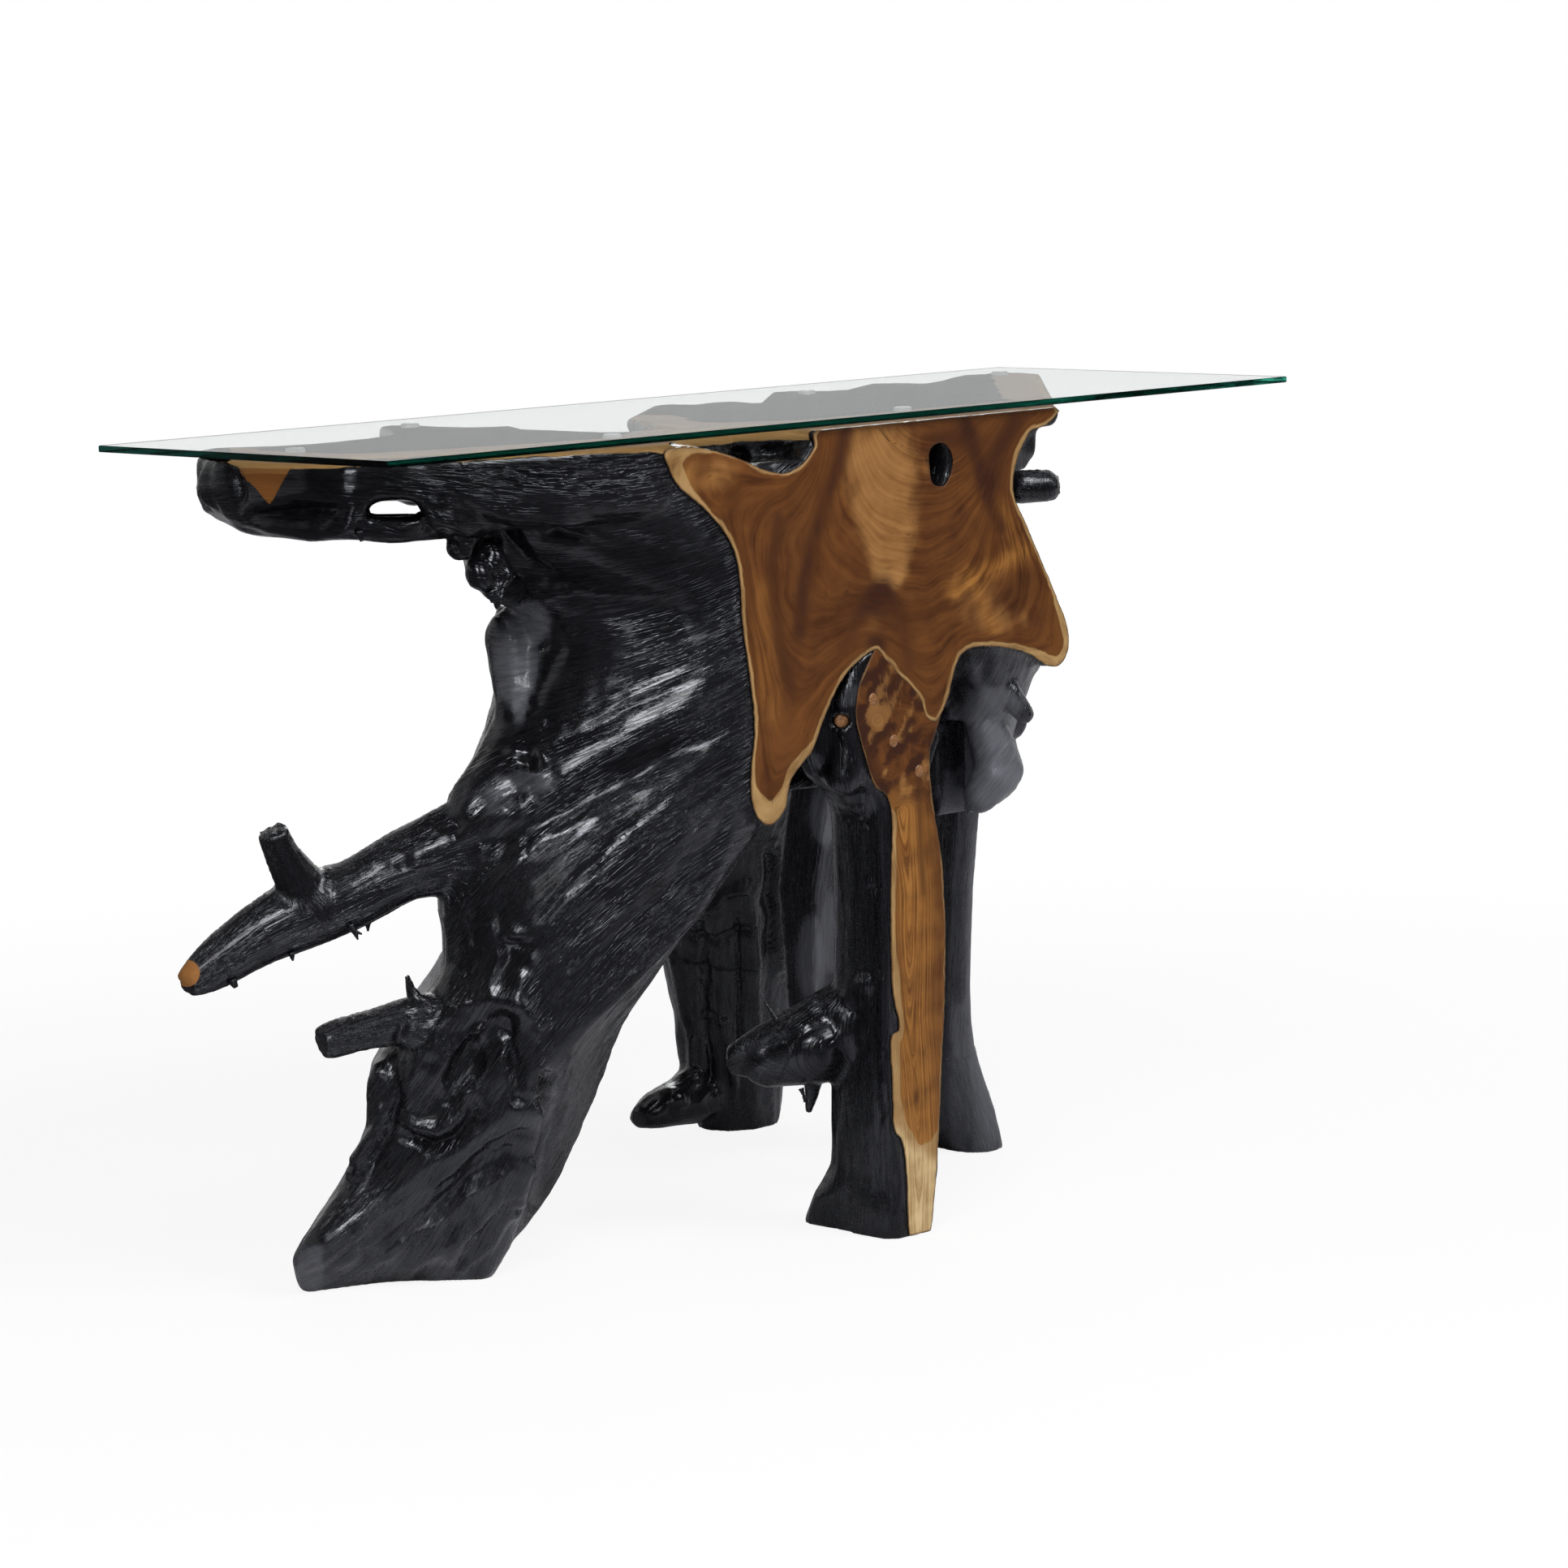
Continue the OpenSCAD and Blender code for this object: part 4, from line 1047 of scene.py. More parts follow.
def black_top():
    """The lacquer of the stump, with sawn wood where the attribute bare says so."""
    m = material("black_root_and_sawn_top")
    dark = black_shader(m)
    edge = m.attribute("edge")
    wood = sawn_wood(m, m.attribute("rings"))
    streak = wood.streak
    heart = m.mix(0.5, wood.heart, m.tone(streak, (150, 98, 52), (188, 136, 82)))
    border = m.plus(edge, m.swing(wood.warp, 8.0))
    colour = m.mix(m.ramp(border, 16.0, 10.0), heart, m.tone(streak, (128, 92, 52), (186, 150, 98)))
    colour = m.mix(m.ramp(border, 46.0, 58.0), colour, m.tone(streak, (70, 40, 16), (128, 82, 40)))
    tanned = m.principled(Base_Color=colour, Roughness=m.ramp(streak, 0.2, 0.8, 0.5, 0.65),
                          Normal=m.bump(streak, 0.0003, 0.4), Specular_IOR_Level=0.06)
    share = m.ramp(m.plus(m.attribute("bare"), m.swing(wood.soft, 0.8)), 0.38, 0.62)
    return m.finish(m.shared(share, dark, tanned))


def dress(o, materials, body, node=None):
    """Gives a piece its materials and body, and hides the imported part of the node that it stands for."""
    for each in materials:
        o.data.materials.append(each)
    if node:
        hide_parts(node)
    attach(o, body)


# The roots: voxel size, passes of evening out, groove field, heights of ridges and grooves, carving.
ROOTS = {
    "stump": (3.4, 22, stump_fields, 1.2, 0.95,
              carve_with((RIDGES, LUMPS, 940), (FLARE_RIDGES, [], 1400))),
    "front_leg": (3.2, 14, leg_fields([[640, 60, -20], [640, 58, 300], [636, 58, 620]],
                                      ([[612, 112, 205], [575, 128, 185], [545, 135, 172]], 34)),
                  1.0, 0.7, carve_with((LEG_RIDGES, LEG_LUMPS, 1100))),
    "rear_leg": (3.6, 16, leg_fields([[915, 510, -20], [880, 485, 200], [820, 400, 350], [790, 310, 520]]),
                 2.6, 1.5, carve_with((REAR_RIDGES, [], 1000))),
    "right_leg": (3.4, 14, leg_fields([[985, 265, -20], [925, 245, 110], [905, 205, 400]]), 0.8, 0.5),
    "right_post": (3.0, 3, leg_fields([[799, 119, 360], [799, 119, 490]]), 0.4, 0.4),
    "inner_brace": (3.2, 5, leg_fields([[765, 255, 150], [755, 240, 300], [755, 200, 480]]), 0.6, 0.6),
}
skins = {node: skin(node, *settings) for node, settings in ROOTS.items()}
stump, front_leg = skins["stump"], skins["front_leg"]

# The front of these two skins sits just behind the sawn faces that cover it.
BEHIND_FACE = 1.2
for o in (stump, front_leg):
    co = read_co(o.data)
    co[co[:, 1] < FRONT + BEHIND_FACE, 1] = FRONT + BEHIND_FACE
    write_co(o.data, co)

BLACK = black_root()
BLACK_TOP = black_top()

# Bare wood of the stump, in picture units: where it starts at the left, how far down its strip reaches
# in millimetres at places across the picture, the patch on the beam's end and the tip of the arm.
BARE_LEFT, BARE_RIGHT = 284, 1000
STRIP_AT = [280, 292, 420, 440, 600, 700, 800, 830]
STRIP_TALL = [0.8, 5.0, 3.0, 1.6, 1.6, 3.0, 5.0, 9.0]
PATCH = [
    (287, 550), (297, 585), (316, 604), (332, 622), (342, 604), (350, 589), (357, 578), (378, 575),
    (420, 572), (430, 550),
]
PATCH_MIDDLE, PATCH_REACH = 350, 110
PATCH_BROWN = (576, 585)
ARM_TIP = (231, 1200, 15, 16)

# The same in millimetres: width of the bare strip on the level top, depth of the strip on its side, the
# lowest height of the patch, and what holds the tip of the arm.
TOP_BARE = 51
SIDE_BARE = 14
PATCH_LOW = 680
TIP_RIGHT, TIP_TOP = 40, 360
NEAR_SIDE = np.array([-0.6, -0.8, 0.0])
SAPWOOD_EDGE, HEART_EDGE, BROWN_EDGE = 4.0, 30.0, 60.0  # what black_top() shows as these kinds of wood


def near_edge(co, n):
    """Distance of level top vertices from the edge that faces the front left."""
    level = co[:, 2] > TOP - 0.8
    rim = ~level & (co[:, 2] > TOP - 9) & (n @ NEAR_SIDE > 0.25)
    tree = KDTree(int(rim.sum()))
    for i, p in enumerate(co[rim]):
        tree.insert(p, i)
    tree.balance()
    edge = np.full(len(co), 500.0)
    edge[level] = [tree.find(p)[2] for p in co[level]]
    return edge, level


def bare_wood(o):
    """Where the wood shows through the lacquer, and what its grain follows there."""
    co, n = read_co(o.data), normals(o.data)
    q = picture(co)
    edge, level = near_edge(co, n)
    bare = np.where(level & (q[:, 0] > BARE_LEFT), 0.5 + (TOP_BARE - edge) / 14, -1.0)
    near = n @ NEAR_SIDE > 0.1
    strip = near & (co[:, 2] > TOP - SIDE_BARE) & (q[:, 0] < BARE_RIGHT)
    tall = np.interp(q[strip, 0], STRIP_AT, STRIP_TALL)
    bare[strip] = np.maximum(bare[strip], 0.5 + (co[strip, 2] - (TOP - tall)) / 5)
    patch = near & (co[:, 2] > PATCH_LOW) & (np.abs(q[:, 0] - PATCH_MIDDLE) < PATCH_REACH)
    outline = np.array(PATCH, float)
    depth_in = outline_distance(outline, q[patch])
    depth_in = np.where(inside(outline, q[patch]), depth_in, -depth_in)
    bare[patch] = np.maximum(bare[patch], 0.5 + depth_in / 8)
    shown = np.zeros(len(co), bool)
    shown[patch] = depth_in > -4
    tip = (co[:, 0] < TIP_RIGHT) & (co[:, 2] < TIP_TOP)
    bare[tip] = (blob_at(q[tip], *ARM_TIP) - 0.37) * 3 + 0.5
    brown = np.interp(q[:, 1], PATCH_BROWN, [SAPWOOD_EDGE, BROWN_EDGE])
    heart = np.full(len(co), HEART_EDGE)
    set_float(o, "bare", np.clip(bare, 0, 1))
    set_float(o, "edge", np.select([shown, tip, level], [brown, heart, np.minimum(edge, 45.0)], SAPWOOD_EDGE))
    set_float(o, "rings", np.where(level, edge, co[:, 2] * 0.9 + co[:, 0] * 0.2))
    set_float(o, "matt", smoothstep(TOP - 3, TOP - 1, co[:, 2]))
    set_float(o, "calm", stump_calm(co))


bare_wood(stump)

# Painted sheen: places where the black is painted a soft grey that stands in for reflections of the
# bright studio and for highlights; middle and half sizes in picture units, and strength. The even number
# of a root is the painted sheen that it has all over. The knob of the flare stays black, without painted
# sheen.
SHEEN_SPOTS = {
    "stump": [
        (636, 812, 30, 62, 1.0), (650, 770, 30, 30, 0.9), (1225, 930, 62, 90, 1.0), (1190, 840, 90, 30, 0.75),
        (380, 1562, 24, 36, 0.55), (545, 1510, 130, 80, 0.12), (690, 1420, 30, 90, 0.22),
        (640, 850, 14, 40, 0.9), (602, 984, 34, 20, 0.42), (646, 964, 40, 16, 0.5),
    ],
    "right_leg": [(1215, 1200, 28, 270, 0.80), (1185, 1330, 18, 130, 0.50)],
    "inner_brace": [(1016, 1004, 20, 40, 1.0), (1000, 1180, 20, 60, 0.8), (1024, 1150, 18, 60, 0.65)],
    "front_leg": [(1045, 857, 30, 14, 0.25)],
}
SHEEN_EVEN = {"right_post": 0.35, "rear_leg": 0.10}
KNOB = (1266, 880, 12, 20)
KNOB_DEPTH = 5110


# Paints the grey sheen: an attribute of each vertex, on the near side of each spot, broken into flecks where
# faint.
def paint_sheen(o, spots, even):
    co = read_co(o.data)
    q, depth = picture(co), depth_of(co)
    value = np.full(len(co), even)
    for x, y, rx, ry, strength in spots:
        reach = ((q[:, 0] - x) / rx) ** 2 + ((q[:, 1] - y) / ry) ** 2
        if reach.min() > 0.3:
            continue
        near = smoothstep(110, 50, depth - depth[reach < 0.3].min())
        value = np.maximum(value, strength * smoothstep(1.4, 0.3, reach) * near)
    value = value * (1 - blob_at(q, *KNOB) * (depth < KNOB_DEPTH))
    flecks = smoothstep(-0.35, 0.25, fractal(co * np.array([1, 1, 0.5]) / 22.0, 3))
    value = value * (flecks * smoothstep(0.6, 0.3, value) + smoothstep(0.3, 0.6, value))
    set_float(o, "painted_sheen", np.clip(value, 0, 1))


for node, o in skins.items():
    paint_sheen(o, SHEEN_SPOTS.get(node, []), SHEEN_EVEN.get(node, 0.0))
    dress(o, [BLACK_TOP if o == stump else BLACK], BODY, node)

# What is painted on the big sawn face, in picture units. Spots: middle, half sizes, strength. Strokes:
# points, width, strength. The strength of sap is a width in millimetres.
FACE_SPOTS = {
    "pale": [
        (1088, 575, 52, 62, 0.95), (1093, 655, 34, 46, 0.95), (1096, 705, 20, 22, 0.8),
        (868, 585, 56, 30, 0.55), (1230, 760, 60, 30, 0.45), (1195, 720, 40, 30, 0.4),
    ],
    "orange": [(1077, 766, 10, 12, 0.6), (850, 590, 34, 16, 0.5)],
    "dark": [(1165, 540, 40, 16, 0.6), (1082, 745, 20, 34, 0.7), (1080, 795, 14, 14, 0.8)],
    "sap": [
        (822, 588, 28, 36, 20), (945, 1002, 44, 26, 22), (985, 940, 30, 40, 6), (1270, 815, 62, 18, 8),
        (1310, 770, 18, 40, 5), (1262, 560, 20, 30, 3), (930, 560, 60, 24, -3),
    ],
}
FACE_STROKES = {
    "orange": [
        ([(1178, 728), (1204, 708), (1240, 690), (1262, 680)], 12, 0.8),
        ([(1196, 705), (1210, 740), (1225, 775)], 8, 0.6),
        ([(1220, 600), (1240, 640), (1252, 670)], 8, 0.45),
        ([(940, 730), (945, 800), (950, 880)], 14, 0.3),
    ],
    "dark": [
        ([(1042, 528), (1034, 570), (1018, 612), (1004, 660), (990, 720), (985, 780)], 11, 0.7),
        ([(960, 640), (950, 700), (960, 790), (975, 850)], 10, 0.5),
        ([(1190, 520), (1206, 575), (1222, 622), (1232, 650)], 11, 0.75),
        ([(1250, 520), (1230, 560), (1225, 600)], 16, 0.7),
        ([(1040, 800), (1062, 745), (1090, 722), (1112, 760), (1120, 820)], 12, 0.45),
    ],
}
FACE_CRACKS = [
    [(1079, 523), (1095, 543), (1113, 550), (1131, 556), (1145, 570)],
    [(1258, 640), (1263, 690)],
    [(952, 980), (950, 1004)],
]
FACE_SAP = 3.5
MASK_TOP = 60

# The leg's sawn face, in picture units: its middle line, the spot and strokes of its dark places, and
# the heights and columns between which its kinds of wood change.
LEG_DOWN = [980, 1100, 1250, 1400]
LEG_MIDDLE = [1110, 1120, 1121, 1132]
LEG_DARK_SPOTS = [(1092, 850, 26, 36, 0.5), (1124, 1215, 8, 22, 0.4)]
LEG_DARK_STROKES = [
    ([(1056, 880), (1064, 930), (1078, 975)], 12, 0.8),
    ([(1132, 950), (1134, 1040), (1138, 1100)], 5, 0.55),
    ([(1104, 1020), (1107, 1150), (1109, 1240)], 5, 0.35),
]
FOOT_DOWN = (1362, 1440)
FOOT_RIGHT = 1128
HEAD_UP = (996, 966)
ORANGE_FROM, ORANGE_TO = (950, 1010), (1480, 1400)
ORANGE_HALF = (48, 14)
LEFT_SAP, RIGHT_SAP = (1125, 1100), (1125, 1150)
LEFT_SAP_DOWN, LEFT_SAP_WIDE_DOWN, RIGHT_SAP_DOWN = (985, 1010), (1170, 1210), (1000, 1060)


def set_masks(o, masks, cracks=()):
    p = picture(read_co(o.data))
    masks["crack"] = np.min([np.full(len(p), 50.0)] + [line_distance(p, points) for points in cracks], axis=0)
    for name, values in masks.items():
        set_float(o, name, np.clip(values, 0, MASK_TOP))


def face_masks(p):
    masks = {name: painted(p, spots, FACE_STROKES.get(name, ())) for name, spots in FACE_SPOTS.items()}
    masks["sap"] += FACE_SAP
    return masks


def leg_masks(p):
    """The masks of the leg's face, and what its growth rings follow."""
    x, y = p[:, 0], p[:, 1]
    ragged = plane_noise(x / 9, y / 60)
    foot = smoothstep(*FOOT_DOWN, y - 0.9 * (x - FOOT_RIGHT) + 12 * ragged)
    head = smoothstep(*HEAD_UP, y + 7 * ragged)
    middle = np.interp(y, LEG_DOWN, LEG_MIDDLE)
    flames = 0.05 * y + 0.085 * (x - middle) ** 2
    swirl = 40 * plane_noise(x / 42, y / 60, 4, 2) + 0.25 * x
    burl = smoothstep(-0.1, 0.6, plane_noise((x + 0.3 * y) / 21, (y - 0.5 * x) / 52, 15.4, 3))
    knots = smoothstep(-0.2, 0.5, plane_noise((x + 0.5 * y) / 17, (y - 0.4 * x) / 34, 8.3, 3))
    left_sap = 10.5 * smoothstep(*LEFT_SAP_DOWN, y) + 11 * smoothstep(*LEFT_SAP_WIDE_DOWN, y)
    right_sap = 5.5 * smoothstep(*RIGHT_SAP_DOWN, y)
    masks = {
        "pale": 0.30 + 0.9 * foot + head * (0.9 * burl - 0.5),
        "orange": smoothstep(*ORANGE_FROM, y) * smoothstep(*ORANGE_TO, y)
        * smoothstep(*ORANGE_HALF, np.abs(x - middle + 1)),
        "dark": painted(p, LEG_DARK_SPOTS, LEG_DARK_STROKES) + 1.1 * head * knots,
        "sap": -4 + left_sap * smoothstep(*LEFT_SAP, x) + right_sap * smoothstep(*RIGHT_SAP, x) + 44 * foot,
    }
    return masks, flames * (1 - head) + swirl * head


FACE_PROUD, FACE_THICK = 0.6, 6.0
LEG_PROUD, LEG_THICK = 0.3, 5.0
face = plate("stump_face", FACE, FACE_PROUD, FACE_THICK, hole=KNOT_HOLE)
leg_face = plate("front_leg_face", LEG_FACE, LEG_PROUD, LEG_THICK, free_top=False)
set_masks(face, face_masks(picture(read_co(face.data))), FACE_CRACKS)
leg_wood, leg_rings = leg_masks(picture(read_co(leg_face.data)))
set_masks(leg_face, leg_wood)
set_float(leg_face, "rings", leg_rings)
WOOD = natural_wood()
for o in (face, leg_face):
    co = read_co(o.data)
    set_grain(o, *stump_fields(co, np.tile(-BACKWARD, (len(co), 1))))
    dress(o, [WOOD, BLACK], BODY)

# Thorns and broken twigs: points of the picture and the radius in millimetres at each of them.
THORNS = [
    ([(534, 1250), (517, 1240), (506, 1225), (500, 1203)], [8, 7, 4, 0.8]),
    ([(431, 1140), (438, 1150), (441, 1158)], [4, 2.4, 0.8]),
    ([(436, 1147), (446, 1151)], [2.4, 0.8]),
    ([(359, 1174), (361, 1184)], [3.5, 0.8]),
    ([(286, 1208), (291, 1217)], [5, 2]),
    ([(606, 728), (613, 741), (612, 751)], [8, 5, 0.8]),
    ([(958, 1258), (950, 1246), (945, 1239), (941, 1230)], [2.8, 2.2, 1.8, 0.8]),
    ([(563, 672), (556, 676)], [9, 7]),
    ([(442, 655), (446, 667)], [4, 1.5]),
    ([(505, 1250), (500, 1262)], [5, 3]),
    ([(987, 1341), (990, 1349), (992, 1358)], [3.0, 1.4, 1.6]),
]
THORN_TURNS = 10
THORN_REACH = 7  # how near to its first point, in picture units, the root is looked for


def thorn_mesh():
    roots = np.concatenate([read_co(stump.data), read_co(front_leg.data)])
    q = picture(roots)
    verts, faces = [], []
    for points, radii in THORNS:
        near = np.all(np.abs(q - points[0]) < THORN_REACH, axis=1)
        if not near.any():
            continue
        depth = depth_of(roots[near]).min() + radii[0]
        line = np.array([place_at(x, y, depth) for x, y in points])
        fine = np.linspace(0, len(line) - 1, 5 * (len(line) - 1) + 1)
        line = np.stack([np.interp(fine, range(len(line)), line[:, k]) for k in range(3)], -1)
        r = np.interp(fine, range(len(radii)), radii)
        d = unit(np.gradient(line, axis=0))
        u = unit(np.cross(d, AHEAD))
        w = np.cross(d, u)
        start = len(verts) * THORN_TURNS
        for k in range(len(line)):
            lump = 1 + 0.22 * noise(np.array([[k * 0.9, j * 1.3, start * 0.1] for j in range(THORN_TURNS)]))
            verts.append(ring_points(line[k], u[k], w[k], r[k] * lump, THORN_TURNS))
        faces += tube_faces(start, len(line), THORN_TURNS) + end_faces(start, len(line), THORN_TURNS)
    return new_object("root_thorns", kept_in(np.concatenate(verts), CAD_BOX, EXTRA_GAP), faces)


thorns = thorn_mesh()
co = read_co(thorns.data)
set_grain(thorns, co / 6.0, co / 6.0, np.zeros(len(co)))
dress(thorns, [BLACK], BODY)

# Glass, rests and fasteners.
ARRIS = 0.7
GLASS_IOR = 1.5
EDGE_IOR = 1.25
RESTS = [(70, 200), (320, 60), (330, 340), (700, 60), (840, 320), (1150, 340)]
REST_PROFILE = [(8.9, 0.05), (9.0, 0.4), (8.9, 1.2), (8.6, 2.6), (8.0, 3.6), (7.4, 3.95)]
PLUGS = [
    ((600, 12, 516), (0, 1, 0)), ((627, 12, 474), (0, 1, 0)), ((661, 12, 442), (0, 1, 0)),
    ((570, 24, 498), (0.6, 0.8, 0)),
]
PLUG_PROFILE = [(6.4, 8.9), (6.45, 0.8), (6.2, 0.1), (5.0, -0.9), (2.5, -1.2), (0.3, -1.25)]


def lathe(name, profile, places, turns=40):
    """Round pieces from a profile of (radius, height), at each (point, axis), as one object."""
    verts, faces = [], []
    for at, axis in places:
        z = Vector(axis).normalized()
        x = z.orthogonal().normalized()
        start = len(verts) * turns
        for r, h in profile:
            verts.append(ring_points(np.array(at) + np.array(z) * h, x, z.cross(x), r, turns))
        faces += tube_faces(start, len(profile), turns) + end_faces(start, len(profile), turns)
    return new_object(name, np.concatenate(verts), faces)


def glass_sheet():
    low, high = (layout(v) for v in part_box("glass_top"))
    verts = []
    for inset, z in ((ARRIS, low[2]), (0, low[2] + ARRIS), (0, high[2] - ARRIS), (ARRIS, high[2])):
        left, front, right, back = low[0] + inset, low[1] + inset, high[0] - inset, high[1] - inset
        verts += [(left, front, z), (right, front, z), (right, back, z), (left, back, z)]
    o = new_object("glass_sheet", np.array(verts), end_faces(0, 4, 4) + tube_faces(0, 4, 4), smooth=False)
    for k, f in enumerate(o.data.polygons):
        f.material_index = 0 if k < 2 else 1
    return o


def glass_inside(m, shader):
    """Finishes a glass material with the green of its inside."""
    inner = m.shader("ShaderNodeVolumeAbsorption", Color=(0.10, 0.62, 0.50, 1), Density=2.5)
    m.put(m.out.inputs["Volume"], inner)
    return m.finish(shader)


def clear_glass():
    """Refraction alone where it is seen straight on, so that what lies under it keeps its colour."""
    m = material("clear_glass")
    cloud = m.ramp(m.noise(m.place(), 6.0), 0.3, 0.7)
    tint = m.mix(cloud, (0.975, 0.99, 0.985, 1), (0.985, 0.995, 0.99, 1))
    rough = m.ramp(m.noise(m.place(), 40.0), 0.3, 0.7, 0.0, 0.012)
    whole = m.principled(Base_Color=tint, Roughness=rough, IOR=GLASS_IOR, Transmission_Weight=1.0)
    clear = m.shader("ShaderNodeBsdfRefraction", Color=tint, Roughness=rough, IOR=GLASS_IOR)
    share = m.ramp(m.shader("ShaderNodeFresnel", IOR=GLASS_IOR), 0.90, 0.99, 0.45, 1.0)
    return glass_inside(m, m.shared(share, clear, whole))


def glass_edge():
    """The ground edge: dark green, with painted highlights as bright green bands towards the right end."""
    m = material("ground_glass_edge")
    bands = m.noise(m.vmath("MULTIPLY", m.place(), (26.0, 26.0, 160.0)), 1.0, 3.0, 0.6)
    # Painted highlights: the tint turns bright green in bands towards the right end.
    painted_glints = m.times(m.ramp(m.axes(m.place())[0], 0.40, 0.56), m.ramp(bands, 0.42, 0.60))
    cloud = m.ramp(m.noise(m.place(), 6.0), 0.3, 0.7)
    tint = m.mix(cloud, (0.002, 0.030, 0.022, 1), (0.005, 0.060, 0.046, 1))
    tint = m.mix(painted_glints, tint, (0.06, 0.50, 0.34, 1))
    rough = m.ramp(m.noise(m.place(), 300.0, 2.0, 0.6), 0.3, 0.7, 0.05, 0.16)
    green = m.principled(Base_Color=tint, Roughness=rough, IOR=EDGE_IOR, Transmission_Weight=1.0)
    return glass_inside(m, green)


def soft_disc():
    m = material("clear_soft_disc")
    colour = m.mix(m.noise(m.place(), 400.0), (0.80, 0.83, 0.83, 1), (0.9, 0.92, 0.92, 1))
    return m.finish(m.principled(Base_Color=colour, Roughness=0.35, Transmission_Weight=0.6, IOR=1.45))


def small_wood(name, stretch, dark, light, rough):
    """Wood of plugs and dowels; the roughness is one number, or a low and a high one."""
    m = material(name)
    grain = m.noise(m.vmath("MULTIPLY", m.place(), stretch), 1.0, 3.0, 0.6)
    colour = m.tone(m.ramp(grain, 0.3, 0.7), dark, light)
    roughness = m.ramp(grain, 0.2, 0.8, *rough) if isinstance(rough, tuple) else rough
    return m.finish(m.principled(Base_Color=colour, Roughness=roughness, Normal=m.bump(grain, 0.0003, 0.5)))


def zinc_steel():
    m = material("zinc_steel")
    grain = m.noise(m.vmath("MULTIPLY", m.place(), (900.0, 60.0, 900.0)), 1.0, 2.0, 0.6)
    colour = m.mix(grain, (0.42, 0.43, 0.45, 1), (0.62, 0.62, 0.64, 1))
    rough = m.ramp(grain, 0.2, 0.8, 0.28, 0.45)
    return m.finish(m.principled(Base_Color=colour, Metallic=1.0, Roughness=rough))


dress(glass_sheet(), [clear_glass(), glass_edge()], "glass", "glass_top")
rests = lathe("glass_rests", REST_PROFILE, [((x, y, TOP), (0, 0, 1)) for x, y in RESTS])
dress(rests, [soft_disc()], BODY, "glass_bumpers")
PLUG_WOOD = small_wood("plug_wood", (260.0, 260.0, 900.0), (92, 58, 30), (142, 98, 58), (0.36, 0.5))
dress(lathe("root_plugs", PLUG_PROFILE, PLUGS), [PLUG_WOOD], BODY, "wood_plugs")
DOWEL_WOOD = small_wood("dowel_wood", (500.0, 500.0, 22.0), (170, 128, 82), (206, 168, 118), 0.5)
for node, inner in (("leg_dowels", DOWEL_WOOD), ("lag_screws", zinc_steel())):
    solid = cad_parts[node]
    solid.data.materials.clear()
    solid.data.materials.append(inner)

# Stage, light and camera. Places of this part are in metres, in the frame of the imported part.
FLOOR_HALF = 9000.0
FLOOR_Z = -0.5
TOE = (-0.40, -0.16, 0.0)


def floor_material():
    """White to the camera. In reflections: dark, but pale at the near right and close to the toe."""
    m = material("pale_floor")
    light = m.add("ShaderNodeLightPath").outputs
    x, y, _ = m.axes(m.place())
    pale = m.mix(m.noise(m.place(), 30.0), (0.80, 0.80, 0.80, 1), (0.82, 0.82, 0.82, 1))
    near_right = m.times(m.ramp(x, -0.25, 0.30), m.ramp(y, -1.8, -0.9))
    mirrored = m.mix(near_right, (0.09, 0.09, 0.10, 1), (0.55, 0.55, 0.58, 1))
    from_toe = m.vmath("DISTANCE", m.place(), TOE, "Value")
    mirrored = m.mix(m.ramp(from_toe, 0.45, 0.18), mirrored, (0.72, 0.72, 0.76, 1))
    matt = m.shader("ShaderNodeBsdfDiffuse", Color=m.mix(light["Is Glossy Ray"], pale, mirrored))
    white = m.shader("ShaderNodeEmission", Strength=1.0)
    whiteness = m.ramp(m.vmath("LENGTH", m.place(), output="Value"), 0.7, 2.4, 0.88, 1.0)
    seen = m.math("MAXIMUM", light["Is Camera Ray"], light["Is Transmission Ray"])
    return m.finish(m.shared(m.times(seen, whiteness), matt, white))


corners = [(-1, -1), (1, -1), (1, 1), (-1, 1)]
floor = new_object("floor", np.array([(x * FLOOR_HALF, y * FLOOR_HALF, FLOOR_Z) for x, y in corners]),
                   [[0, 1, 2, 3]], smooth=False)
floor.data.materials.append(floor_material())

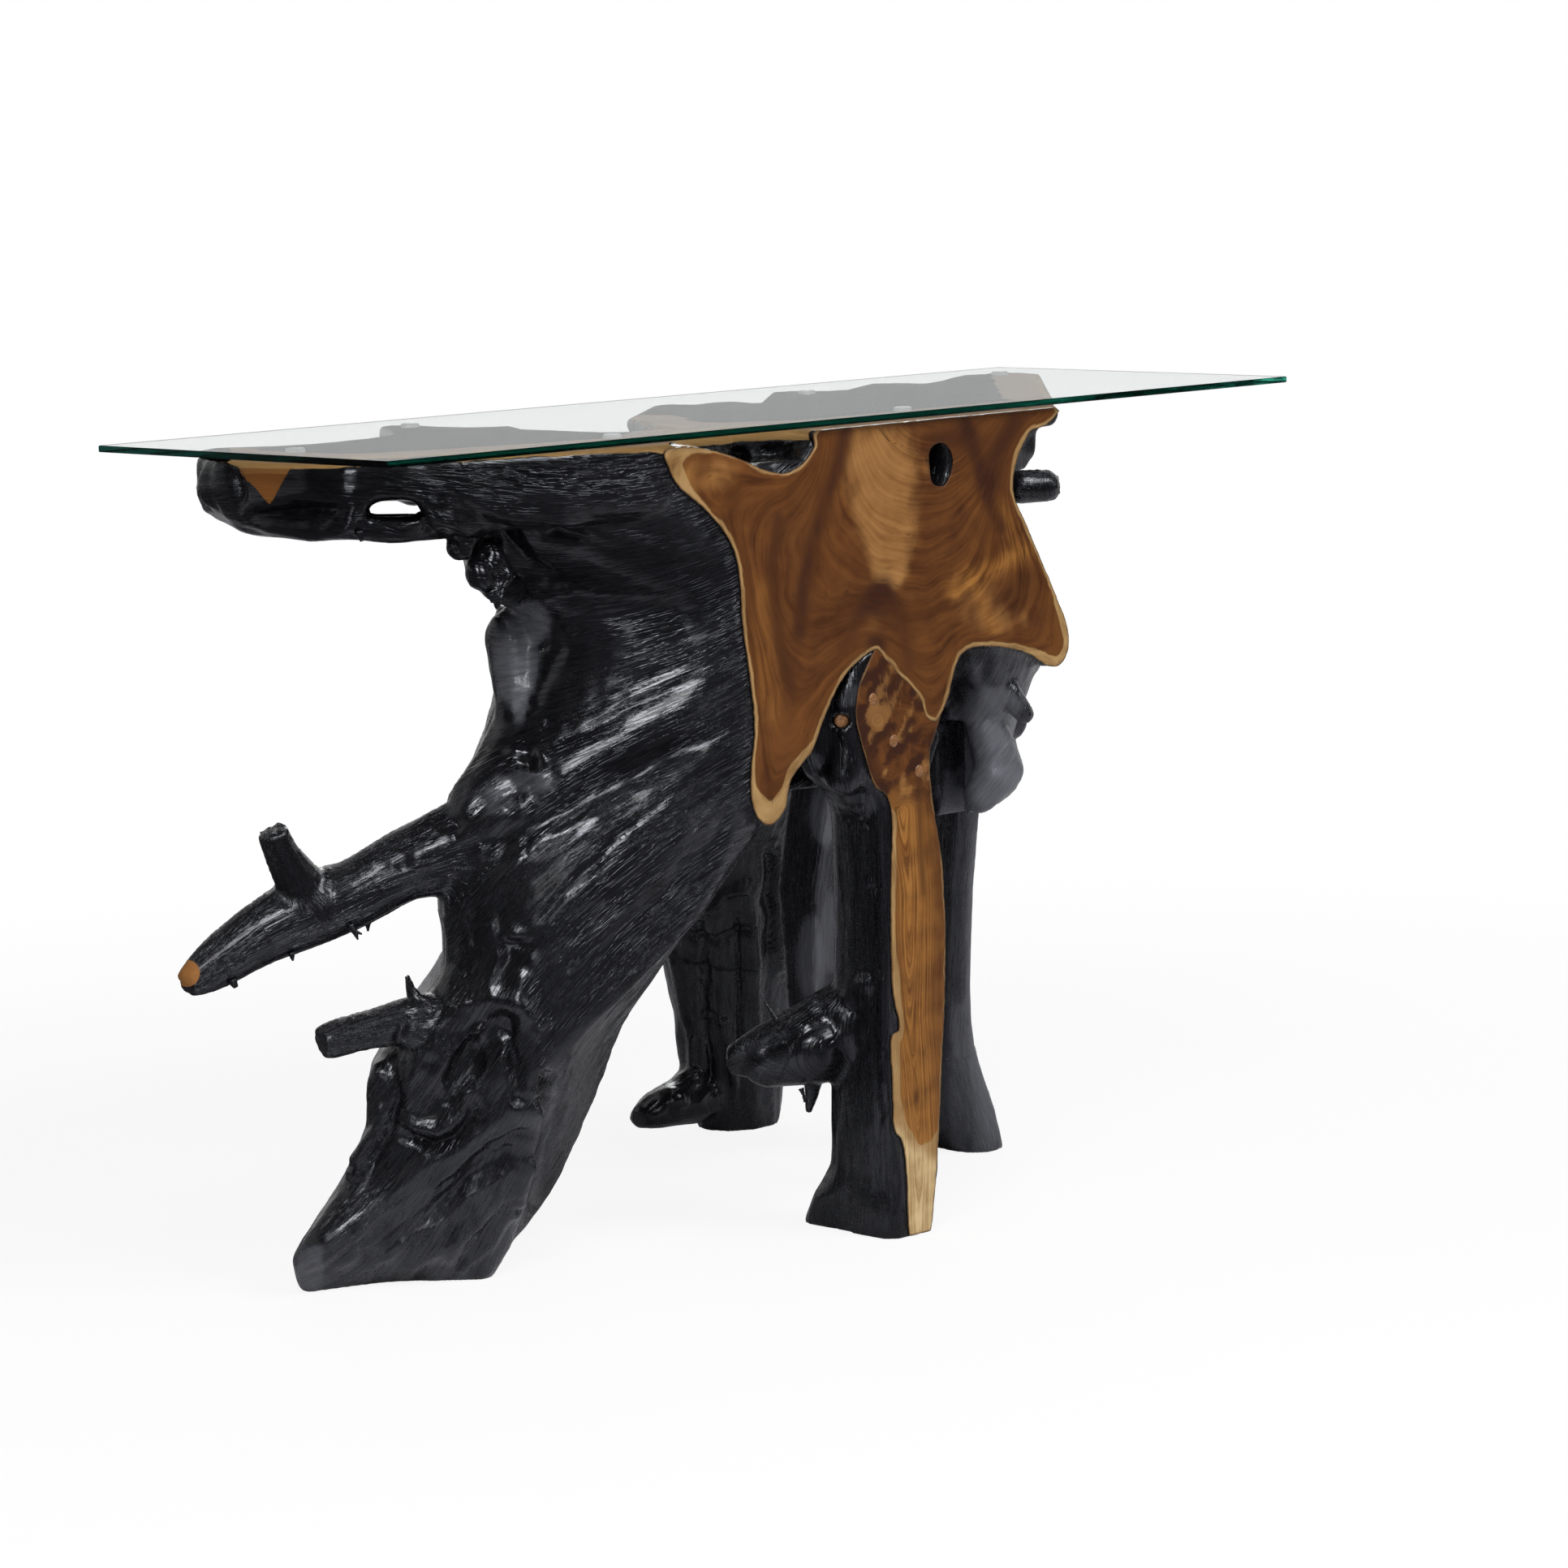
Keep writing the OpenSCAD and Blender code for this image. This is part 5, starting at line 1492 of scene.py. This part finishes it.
# Bright parts of the studio walls: direction, cosines where they start and are full, strength.
HORIZON = ((0.7, 0.7, 0.0), 0.70, 0.98, 0.67)
GLOWS = [
    ((0.97, 0.0, 0.10), 0.82, 0.98, 0.50), ((-0.5, 0.8, 0.2), 0.70, 0.98, 0.40),
    ((0.1, -0.1, 1.0), 0.86, 0.99, 0.70),
]
BELOW = ((0.0, 0.0, -1.0), -0.02, 0.02, 1.0)
WALL_LIGHT = 0.03
studio = Nodes(bpy.data.worlds.new("studio"), "ShaderNodeOutputWorld")


def glow(direction, start, end, strength):
    """Brightness of the studio walls towards one direction."""
    aim = Vector(direction).normalized()
    towards = studio.vmath("DOT_PRODUCT", studio.place("Generated"), aim, "Value")
    return studio.ramp(towards, start, end, 0.0, strength)


path = studio.add("ShaderNodeLightPath").outputs
walls = studio.plus(glow(*HORIZON), WALL_LIGHT, *(glow(*each) for each in GLOWS))
through = studio.times(path["Is Transmission Ray"], glow(*BELOW))
seen = studio.math("MAXIMUM", path["Is Camera Ray"], through)
light = studio.math("MAXIMUM", walls, seen)
background = studio.shader("ShaderNodeBackground", Color=(1, 1, 1, 1), Strength=light)
bpy.context.scene.world = studio.finish(background)

# Area lamps: place, what they aim at, width, height and power.
LAMPS = {
    "left_box": ((-2.3, -1.75, 2.35), (-0.2, -0.1, 0.45), 1.35, 1.0, 66),
    "low_box": ((-3.1, -2.3, 1.0), (-0.2, -0.1, 0.35), 1.2, 0.9, 9),
    "front_box": ((0.8, -3.0, 2.9), (0.1, -0.1, 0.45), 2.0, 1.5, 105),
    "far_side": ((2.6, 2.4, 2.0), (0.1, 0.0, 0.4), 1.4, 1.6, 30),
}
for name, (at, aim, width, height, power) in LAMPS.items():
    data = bpy.data.lights.new(name, "AREA")
    data.shape = "RECTANGLE"
    data.size = width
    data.size_y = height
    data.energy = power
    o = placed(name, data)
    o.location = at
    o.rotation_euler = (Vector(aim) - Vector(at)).to_track_quat("-Z", "Y").to_euler()

SENSOR = 36.0
camera = placed("camera", bpy.data.cameras.new("camera"))
turn = Matrix((Vector(SIDE), Vector(UP), -Vector(AHEAD))).transposed()
camera.matrix_world = Matrix.Translation(Vector(table(EYE))) @ turn.to_4x4()
camera.data.sensor_width = SENSOR
camera.data.lens = FOCAL / PICTURE * SENSOR
camera.data.clip_end = 60.0
bpy.context.scene.camera = camera
bpy.context.scene.view_settings.view_transform = "Standard"
